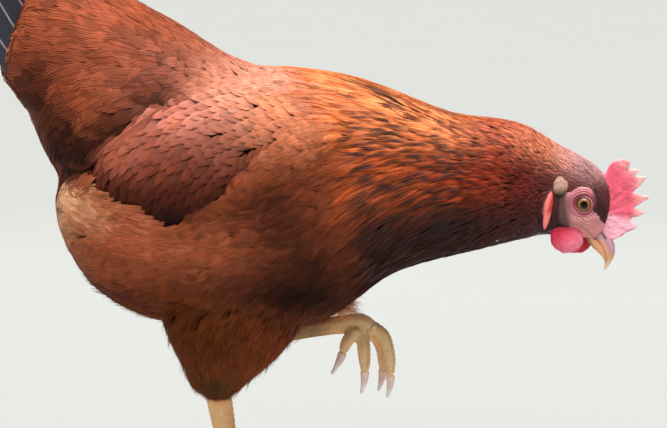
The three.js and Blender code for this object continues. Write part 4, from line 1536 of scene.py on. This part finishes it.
def unwrapped(shape):
    # a map of the skin's own shape, to say where on it each feather's colours are baked
    mesh = bpy.data.meshes.new("unwrap")
    shape.to_mesh(mesh)
    piece = pieceOf(mesh, "unwrap")
    bpy.context.view_layer.objects.active = piece
    piece.select_set(True)
    bpy.ops.object.mode_set(mode="EDIT")
    bpy.ops.mesh.select_all(action="SELECT")
    bpy.ops.uv.smart_project(angle_limit=math.radians(66), island_margin=0.004)
    bpy.ops.object.mode_set(mode="OBJECT")
    mesh.calc_loop_triangles()
    corners = readAll(mesh.loop_triangles, "loops", 3)
    spots = readAll(mesh.uv_layers.active.data, "uv", 2, np.float32)
    chart = Surface(shape)
    chart.tris = readAll(mesh.loop_triangles, "vertices", 3).reshape(-1, 3)
    chart.tree = BVHTree.FromPolygons(chart.places.tolist(), chart.tris.tolist())
    chart.flat = spots.reshape(-1, 2)[corners].reshape(-1, 3, 2)
    bpy.data.objects.remove(piece)
    return chart


bodyChart = unwrapped(coatShape)
print("skin unwrapped")


def bakeSpots(places):
    _, _, index, share = bodyChart.nearest(places)
    return (bodyChart.flat[index] * share[..., None]).sum(1)


def hackleMarks(roots):
    # black centres on the last rows of the hackles
    x, z = roots[:, 0], roots[:, 2]
    return ease(x, 0.140, 0.115) * ease(z, 0.188, 0.203) * ease(x, 0.045, 0.06)


# roughness, sheen, how streaky, how fine the barbs and gloss
barbs = {
    "body": featherFinish("body feathers", 0.62, 0.04, 0.09, 60, 0.10),
    "hackle": featherFinish("neck hackles", 0.42, 0.02, 0.3, 40, 0.25),
    "wing": featherFinish("wing feathers", 0.55, 0.03, 0.12, 60, 0.10),
    "down": featherFinish("soft feathers", 0.75, 0.06, 0.2, 30, 0.08),
    "tail": featherFinish("tail feathers", 0.4, 0.2, 0.35, 90, 0.5),
}

# which feathers make up each piece: tracts, kind of vane, finish, slot and colouring
hackleScheme = plainScheme(tip=0.35, root=0.7, vary=0.3, strands=0.25, rim=0.1, mark=hackleMarks,
                           stem="amber")
backScheme = plainScheme(tip=0.3, root=0.66, vary=0.13, strands=0.14, rim=0.2)
saddleScheme = plainScheme(tip=0.42, root=0.66, vary=0.16, strands=0.1, rim=0.3)
thighScheme = plainScheme(tip=0.22, root=0.6, vary=0.12, strands=0.16)
wispScheme = plainScheme(tip=0.2, root=0.7, vary=0.16, strands=0.2)
coverScheme = plainScheme(tip=0.4, root=0.6, vary=0.12, strands=0.12, rim=0.4)
headScheme = plainScheme(tip=0.2, root=0.5, vary=0.16, strands=0.25)
rimScheme = plainScheme(tip=0.2, root=0.6, vary=0.1, strands=0.2, rim=0.3, stem="rust")
fringeScheme = plainScheme(tip=0.2, root=0.8, vary=0.1, strands=0.2)
coatPieces = {
    "hackles": (["neck"], "hackle", "hackle", "neck_hackle", hackleScheme),
    "breast_and_back": (["trunk"], "broad", "body", "body_feathers", backScheme),
    "saddle": (["rump"], "broad", "body", "body_feathers", saddleScheme),
    "thigh_feathers": (["thigh"], "down", "down", "body_feathers", thighScheme),
}
mostTriangles = 180000  # a larger piece is made as two or more
seeds = {
    "body": 3, "wisps": 23, "wing": 5, "head": 9, "ears": 13, "legs": 17,
    "long": 21, "tail": 31, "fringe": 41,
}


def feathered(name, slot, finish, kind, laid, sizes, tint, bakes, roots, variant, dice, scheme, nodeNames=()):
    # one piece of feathers, each of them one of the variants of its kind
    batches = []
    for k, template in enumerate(vaneKinds[kind]):
        pick = np.flatnonzero(variant == k)
        some = {key: value[pick] for key, value in sizes.items()}
        lines = (part[pick] for part in laid)
        batches.append(grow(template, *lines, some, tint[pick], bakes[pick], dice, scheme, roots[pick]))
    piece = pieceOf(vaneMesh(name, batches), name)
    piece.data.materials.append(barbs[finish])
    settle(piece, slot, *nodeNames)
    print(name, len(variant), "feathers", len(piece.data.polygons), "triangles")


def layCoat(surface, lieOf, chosen, wanted, seed, spreadSizes, pieces, spread=scatter):
    # roots, middle lines, colours and meshes of the feathers on one surface
    dice = np.random.default_rng(seed)
    sizes = spreadSizes(surface.places, chosen, np.random.default_rng(1))
    roots, index, share = spread(surface, sizes["gap"], wanted, seed)
    rootShare = surface.value(chosen, index, share)
    rootShare = rootShare / rootShare.sum(1, keepdims=True)
    sizes = spreadSizes(roots, rootShare, dice)
    sizes["depth"] = coatDepth(roots) + 0.3 * mm
    laid = layFeathers(surface, lieOf, roots, sizes, dice)
    tint = coatDye(roots, byTract(rootShare))
    bakes = bakeSpots(roots)
    best = rootShare.argmax(1)
    for name, (members, kind, finish, slot, scheme) in pieces.items():
        every = np.flatnonzero(np.isin(best, [tractAt[member] for member in members]))
        every = every[np.argsort(roots[every, 0])]
        groups = np.array_split(every, 1 + len(every) * len(vaneKinds[kind][0]["tris"]) // mostTriangles)
        for k, group in enumerate(groups):
            title = name if len(groups) == 1 else f"{name}_{k + 1}"
            variant = dice.integers(0, len(vaneKinds[kind]), len(group))
            own = {key: value[group] for key, value in sizes.items()}
            lines = [part[group] for part in laid]
            feathered(title, slot, finish, kind, lines, own, tint[group], bakes[group], roots[group], variant,
                      dice, scheme)


# the body's own feathers end inside the wing's edge, and in front where the head's small ones begin
headCut = 0.166
wing, trunk = tractAt["wing"], tractAt["trunk"]
onWing = tractShare[:, wing] * ease(withinWing(coatSurface.places[:, [0, 2]]), 7 * mm, 11 * mm)
tractShare[:, trunk] += tractShare[:, wing] - onWing
tractShare[:, wing] = onWing
wanted = np.where(coatSurface.places[:, 0] > headCut, 0, 1 - onWing)
layCoat(coatSurface, lieOfCoat, tractShare, wanted, seeds["body"], sizesAt, coatPieces)

# loose wisps over the soft feathers of flank, belly and thighs


def wispSizes(places, _, dice):
    count = len(places)
    low = ease(places[:, 2], 0.19, 0.13)
    ends = {"length": (15, 24), "width": (3.5, 5.5), "gap": (4.6, 4.2)}
    sizes = {key: blend(high, deep, low) * mm for key, (high, deep) in ends.items()}
    sizes["length"] = sizes["length"] * dice.uniform(0.6, 1.3, count)
    sizes["lift"] = blend(1.0, 4.2, low) * mm * dice.uniform(0.2, 1.6, count)
    return sizes | sitting(count, camber=0.2, droop=0.35, swing=0.3, roll=0.3)


x, z = coatSurface.places[:, 0], coatSurface.places[:, 2]
soft = np.maximum(ease(z, 0.195, 0.165), ease(x, -0.115, -0.14) * ease(z, 0.235, 0.215)) * ease(x, 0.06, 0.03)
wispPieces = {"wisps": (tractNames, "wisp", "down", "body_feathers", wispScheme)}
layCoat(coatSurface, lieOfCoat, tractShare, soft * (1 - onWing), seeds["wisps"], wispSizes, wispPieces)

# the wings tuck under the flank's feathers, so theirs are laid on a copy of the coat that sinks at their edge
wingShape = coatShape.copy()
inset(wingShape, lambda places: 3.4 * mm * ease(toLine(places[:, [0, 2]], wingFoot), 17 * mm, 4 * mm))
wingSurface = Surface(wingShape)
outer = outwardOf(wingSurface.places, wingSurface.normals)
wingNear = distanceTo(nodeTrees["wing"], coatSurface.places)
lieOfWing = sideLie(wingSurface, wingLie)
wingPieces = {"wing_coverts": (["wing"], "cover", "wing", "wing_feathers", coverScheme)}
flat = wingSurface.places[:, [0, 2]]
wanted = ease(outer, 0.0, 0.12) * ease(withinWing(flat), 4 * mm, 7 * mm) * ease(wingNear, 1.5 * mm, 0.5 * mm)
layCoat(wingSurface, lieOfWing, allIn("wing", wingSurface), wanted, seeds["wing"], sizesAt, wingPieces,
        brickwork)

# small feathers of the head and the top of the neck, on the head's own finer shape


def headSizes(places, _, dice):
    x = places[:, 0]
    back = ease(x, 0.20, 0.150)
    count = len(places)
    sizes = {"length": blend(3.6, 10, back), "width": blend(1.3, 2.5, back), "gap": blend(1.05, 1.75, back)}
    crown = ease((places[:, 2] - eyeZ) / mm, 8, 20)
    sizes["length"] = sizes["length"] * (1 + 0.4 * crown * (1 - back))
    sizes = {key: value * mm for key, value in sizes.items()}
    sizes["length"] = sizes["length"] * dice.uniform(0.75, 1.25, count)
    sizes["lift"] = dice.uniform(0.1, 0.5, count) * mm
    return sizes | sitting(count, camber=0.12, droop=0.5, swing=0.12, roll=0.15)


headReach = toFlesh(headSurface.places, "comb", "wattle", "lobe", "bill")
bare = bareFace(headSurface.places)
wanted = ease(headSurface.places[:, 0], 0.150, 0.160) * (1 - bare) * ease(headReach, 0.3 * mm, 1.0 * mm)
lieOfHead = sideLie(headSurface, [row for row in lie if row[0] > 0.08], 6 * mm)
headPieces = {"head_feathers": (["head"], "tuft", "hackle", "neck_hackle", headScheme)}
layCoat(headSurface, lieOfHead, allIn("head", headSurface), wanted, seeds["head"], headSizes, headPieces)

# dense bristles over the openings of the ears

ear = {"forward": -16.6, "up": 12.9, "half": (5.4, 3.0, 7.6), "lean": math.radians(12)}
earDyes = shades(top="eab8a4", low="3e1e18", tip="f6dccb")


def earBall(side):
    at = Vector((eyeX + ear["forward"] * mm, 0, eyeZ + ear["up"] * mm))
    hit = headSurface.tree.ray_cast(at + Vector((0, side * 0.05, 0)), (0, -side, 0))[0]
    shape = bmesh.new()
    turn = Matrix.Translation(hit - Vector((0, side * 0.3 * mm, 0))) @ Matrix.Rotation(ear["lean"], 4, "Y")
    size = Matrix.Diagonal([value * mm for value in ear["half"]]).to_4x4()
    bmesh.ops.create_icosphere(shape, subdivisions=4, radius=1, matrix=turn @ size)
    return shape


def bothEars():
    shape = earBall(-1)
    other = bpy.data.meshes.new("draft")
    earBall(1).to_mesh(other)
    shape.from_mesh(other)
    shape.normal_update()
    return shape


earSurface = Surface(bothEars())


def earScheme(_, template, dice, roots):
    level = ease((roots[:, 2] - eyeZ) / mm, 7.5, 15)
    tone = (1 + dice.normal(0, 0.1, len(roots)))[:, None]
    base = tinted(earDyes["low"], earDyes["top"], level) * tone
    t = template["t"][None, :, None]
    return blend(base[:, None] * (0.7 + 0.3 * t), earDyes["tip"], 0.3 * t ** 4 * level[:, None, None])


def earSizes(places, _, dice):
    count = len(places)
    sizes = sitting(count, length=3.4 * mm, width=0.6 * mm, gap=0.46 * mm, lift=0.5 * mm)
    sizes["length"] = sizes["length"] * dice.uniform(0.75, 1.2, count)
    sizes["lift"] = sizes["lift"] * dice.uniform(0.6, 1.3, count)
    return sizes | sitting(count, camber=0.1, droop=0.3, swing=0.1, roll=0.2)


earLie = [
    (0.186, 0.222, -0.35, -0.9), (0.180, 0.212, -0.25, -0.95), (0.173, 0.222, -0.6, -0.8),
    (0.178, 0.233, -0.7, -0.65),
]
wanted = ease(outwardOf(earSurface.places, earSurface.normals), -0.1, 0.1)
lieOfEar = sideLie(earSurface, earLie, 5 * mm)
earPieces = {"ear_tufts": (["head"], "bristle", "hackle", "ear_tuft", earScheme)}
layCoat(earSurface, lieOfEar, allIn("head", earSurface), wanted, seeds["ears"], earSizes, earPieces)
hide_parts("ear_right", "ear_left")


# long feathers laid along drawn middle lines: tail and wings

def longFeathers(name, slot, kind, finish, scheme, rows, nodeNames=()):
    # each row: middle line as points in metres, facing as a vector at each point, width, camber and dye
    dice = np.random.default_rng(seeds["long"])
    lines = np.array([row["line"] for row in rows], float)
    faces = unit(np.array([row["face"] for row in rows], float))
    along = unit(np.gradient(lines, axis=1))
    ups = unit(faces - along * dot(faces, along))
    across = np.cross(along, ups)
    tint = np.array([row["dye"] for row in rows])
    sizes = {key: np.array([row[key] for row in rows]) for key in ("width", "camber")}
    roots = lines[:, 0]
    variant = dice.integers(0, len(vaneKinds[kind]), len(rows))
    feathered(name, slot, finish, kind, (lines, across, ups), sizes, tint, bakeSpots(roots), roots, variant,
              dice, scheme, nodeNames)


# tail: a ridge line, a foot line and a half width from root to tip, with feathers between them

tail = {
    "ridge": [(-0.1564, 0.362), (-0.1664, 0.390), (-0.1804, 0.418), (-0.1934, 0.437), (-0.2064, 0.4425),
              (-0.2184, 0.436)],
    "foot": [(-0.1904, 0.290), (-0.2074, 0.312), (-0.2264, 0.343), (-0.2370, 0.368), (-0.2420, 0.384),
             (-0.2400, 0.399)],
    "halfWidth": [0.0135, 0.0195, 0.0255, 0.0285, 0.0250, 0.0140],
    "perSide": 8, "width": 0.026, "camber": 0.06,
}


def tailLine(key, run):
    return np.array([np.interp(run, range(6), values) for values in zip(*tail[key])])


def tailSpot(run, share, step):
    # a place between ridge and foot, a share of the way down
    flat = blend(tailLine("ridge", run), tailLine("foot", run), share ** 1.4)
    y = (1 - (1 - share) ** 1.5) * np.interp(run, range(6), tail["halfWidth"])
    return np.array([flat[0], y - step, flat[1]])


def tailRows():
    dice = np.random.default_rng(seeds["tail"])
    rows = []
    for side in sides.values():
        flip = np.array([1, side, 1])
        for k in range(tail["perSide"]):
            share = (k + 0.35) / (tail["perSide"] - 0.3)
            ends = 4.7 + 0.3 * share - 0.35 * abs(share - 0.5) + dice.uniform(-0.12, 0.12)
            line, face = [], []
            step = 0.0012 * (k % 2)
            for run in np.linspace(0.0, ends, 10):
                spot, below = (tailSpot(run, min(1, share + more), step) * flip for more in (0, 0.03))
                way = np.cross(below - spot, (-0.5, 0, 0.86)) * side
                line.append(spot)
                face.append(way if way[1] * side >= 0 else -way)
            rows.append({"line": line, "face": face, "width": tail["width"] * dice.uniform(0.93, 1.05),
                         "camber": tail["camber"], "dye": dyes["tailBlack"]})
    return rows


def tailScheme(tint, template, dice, _):
    u, t, bone = template["u"], template["t"], template["bone"]
    tone = 1 + dice.normal(0, 0.12, len(tint))
    colour = tint[:, None] * (tone[:, None] * (1 + 0.12 * template["strand"])[None])[..., None]
    edge = 0.35 * ease(np.abs(u), 0.8, 1.0) + 0.2 * ease(t, 0.93, 1.0)
    colour = blend(colour, dyes["tailEdge"], edge[None, :, None])
    return blend(colour, dyes["shaft"], (bone * 0.9)[None, :, None])


longFeathers("tail_feathers", "tail_feathers", "quill", "tail", tailScheme, tailRows(), ["tail"])


# scales of the legs: a row of broad scutes down the front of each limb, small ones round the rest

footAt = np.array((-47.4, -1.0))


def floorToe(heading, length):
    turn = math.radians(heading)
    reach = np.linspace(3, length, 5)
    spots = footAt + np.outer(reach, (math.cos(turn), math.sin(turn)))
    return [(x, y, 5) for x, y in spots]


# each limb: its middle line in mm, which way its front faces, a scute's width and the step between them
limbs = [
    ([(-62.4, -18, 92), (-57, -13, 64), (-53.8, -9, 44), (-50.6, -5, 26), (-47.8, -2, 12)], (1, 0.1, 0.1),
     9.5, 4.3),
    (floorToe(-176, 24), (0, 0, 1), 6.6, 3.3), (floorToe(36, 39), (0, 0, 1), 7, 3.3),
    (floorToe(-3, 56), (0, 0, 1), 7.2, 3.4), (floorToe(-43, 42), (0, 0, 1), 7, 3.3),
    ([(-30, 28, 116), (-2.4, 27, 119.6), (19.6, 27, 122.4), (33.6, 27, 124), (41, 27, 123.6)], (0.1, 0, 1),
     8.8, 4.2),
    ([(36.6, 22, 119), (32.1, 19, 114.5), (29.1, 17.5, 109), (27.4, 17, 104)], (0.7, -0.3, 0.6), 6.4, 3.2),
    ([(41.6, 24, 120), (42.1, 20, 110), (42.9, 18, 99), (43.2, 17.5, 91)], (0.95, -0.1, 0.3), 6.8, 3.3),
    ([(46, 27, 123), (56.1, 26, 115.5), (60.4, 26, 102), (61.4, 26.5, 87)], (0.8, 0, 0.6), 7.2, 3.4),
    ([(44.6, 30, 121), (52.6, 35, 112), (56.1, 38, 101), (56.1, 39, 90)], (0.9, 0.2, 0.4), 6.8, 3.3),
]


def runsOf(spots):
    # how far along a line each of its points lies
    return np.concatenate([[0], np.cumsum(np.linalg.norm(np.diff(spots, axis=0), axis=1))])


def walkedLine(path, step):
    spots = np.array(path, float) * mm
    runs = runsOf(spots)
    marks = np.arange(0, runs[-1], step)
    return np.stack([np.interp(marks, runs, spots[:, k]) for k in range(3)], 1)


def legSizes(places, _, dice):
    count = len(places)
    sizes = sitting(count, length=2.7 * mm, width=2.5 * mm, gap=1.95 * mm)
    sizes["lift"] = dice.uniform(0.14, 0.3, count) * mm
    return sizes | sitting(count, camber=0.1, droop=1.0, swing=0.15, roll=0.06)


def scaleScheme(_, template, dice, roots):
    t, u = template["t"], template["u"]
    base = legDye(roots) * (1 + dice.normal(0, 0.06, len(roots)))[:, None]
    # painted shade in the grooves between scales: darker at a scale's root, sides and end
    grooveShade = 0.8 + 0.2 * ease(t, 0.1, 0.4) * ease(np.abs(u), 1.05, 0.8) - 0.25 * ease(t, 0.9, 1.0)
    colour = base[:, None] * grooveShade[None, :, None]
    return blend(colour, legDyes["pale"], (0.3 * ease(t, 0.7, 1.0))[None, :, None])


def scuteRows():
    rows = []
    for path, front, width, step in limbs:
        front = Vector(front).normalized()
        spots = walkedLine(path, step * mm)
        for start, end in zip(spots[:-1], spots[1:]):
            along = (end - start) / np.linalg.norm(end - start)
            line, face = [], []
            for share in (0.0, 0.4, 0.8, 1.2):
                inside = Vector(start + (end - start) * share)
                hit = legSurface.tree.ray_cast(inside + front * 14 * mm, -front, 14 * mm)
                at = hit[0] or inside + front * 5 * mm
                line.append(at + front * (0.1 + 0.55 * share) * mm)
                face.append(front - Vector(along) * front.dot(Vector(along)))
            rows.append({"line": [tuple(spot) for spot in line], "face": [tuple(way) for way in face],
                         "width": width * mm, "camber": 0.22, "dye": legDyes["yellow"]})
    return rows


barbs["scale"] = fleshFinish("leg scales", 0.42, 420, 0.0002, 0.4, 0.05)
longFeathers("scutes", "leg_scales", "scute", "scale", scaleScheme, scuteRows())
walks = [walkedLine(path, 5 * mm) for path, *_ in limbs]
ways = [unit(np.gradient(walk, axis=0)) for walk in walks]
lieOfLegs = Lie(np.concatenate(walks), np.concatenate(ways), 4 * mm)
clear = distanceTo(nodeTrees["thigh"], legSurface.places)
wanted = ease(clear, 0.5 * mm, 2 * mm) * ease(legSurface.places[:, 2], 0.8 * mm, 2 * mm)
legPieces = {"leg_scales": (["thigh"], "scale", "scale", "leg_scales", scaleScheme)}
layCoat(legSurface, lieOfLegs, allIn("thigh", legSurface), wanted, seeds["legs"], legSizes, legPieces)


# long feathers along the wing's upper edge, beside the crease

wingRim = np.array([
    (-0.074, 0.2895), (-0.0934, 0.2825), (-0.1144, 0.2685), (-0.1354, 0.2530), (-0.148, 0.2400),
])


def rimRows():
    rows = []
    runs = runsOf(wingRim)
    inWing = byTract(np.eye(len(tractNames))[[tractAt["wing"]]])
    for side in sides.values():
        for k in range(4):
            start, end = runs[-1] * 0.1 * k, runs[-1] * (0.97 - 0.11 * k)
            line, face = [], []
            for share in np.linspace(0, 1, 9):
                x, z = (np.interp(start + (end - start) * share, runs, wingRim[:, i]) for i in (0, 1))
                z -= (0.6 + 1.9 * k) * mm * (0.6 + 0.4 * share)
                at, way, *_ = wingSurface.tree.ray_cast((x, side * 0.2, z), (0, -side, 0))
                if at is None:
                    at, way, *_ = wingSurface.tree.find_nearest((x, side * 0.06, z))
                way = (way + Vector((0, side * 0.8, 0))).normalized()
                height = blend(-7, 1.0 - 0.15 * k, float(ease(share, 0, 0.35)))
                line.append(tuple(at + way * height * mm))
                face.append(tuple(way))
            dye = coatDye(np.array([line[5]]), inWing)[0] * (1.3 - 0.3 * (k % 2))
            rows.append({"line": line, "face": face, "width": 3.4 * mm, "camber": 0.12, "dye": dye})
    return rows


longFeathers("wing_edge_feathers", "wing_feathers", "quill", "wing", rimScheme, rimRows())


# pale fluff at the top of the lifted leg

def fringeRows():
    dice = np.random.default_rng(seeds["fringe"])
    rows = []
    for _ in range(150):
        y, share = dice.uniform(12, 36), dice.random()
        start = np.array([dice.uniform(8, 24), y, dice.uniform(132, 149)])
        end = start + np.array([dice.uniform(18, 27), dice.uniform(-2, 3), -1 - 8 * share])
        bow = np.array([0, 0, 1.0]) * dice.uniform(1, 5)
        runs = np.linspace(0, 1, 6)
        line = [(start + (end - start) * run + bow * math.sin(math.pi * run)) * mm for run in runs]
        # the fringe takes that pale fluff colour, which carries painted light, and is made paler still
        dye = blend(dyes["fluffAndHighlight"], dyes["tipPale"], dice.uniform(0.0, 0.9)) * 1.3
        face = [(0.1, dice.normal(0, 0.5), 1)] * 6
        width = dice.uniform(4, 7) * mm
        rows.append({"line": line, "face": face, "width": width, "camber": 0.2, "dye": dye})
    return rows


longFeathers("leg_fringe", "body_feathers", "down", "down", fringeScheme, fringeRows())
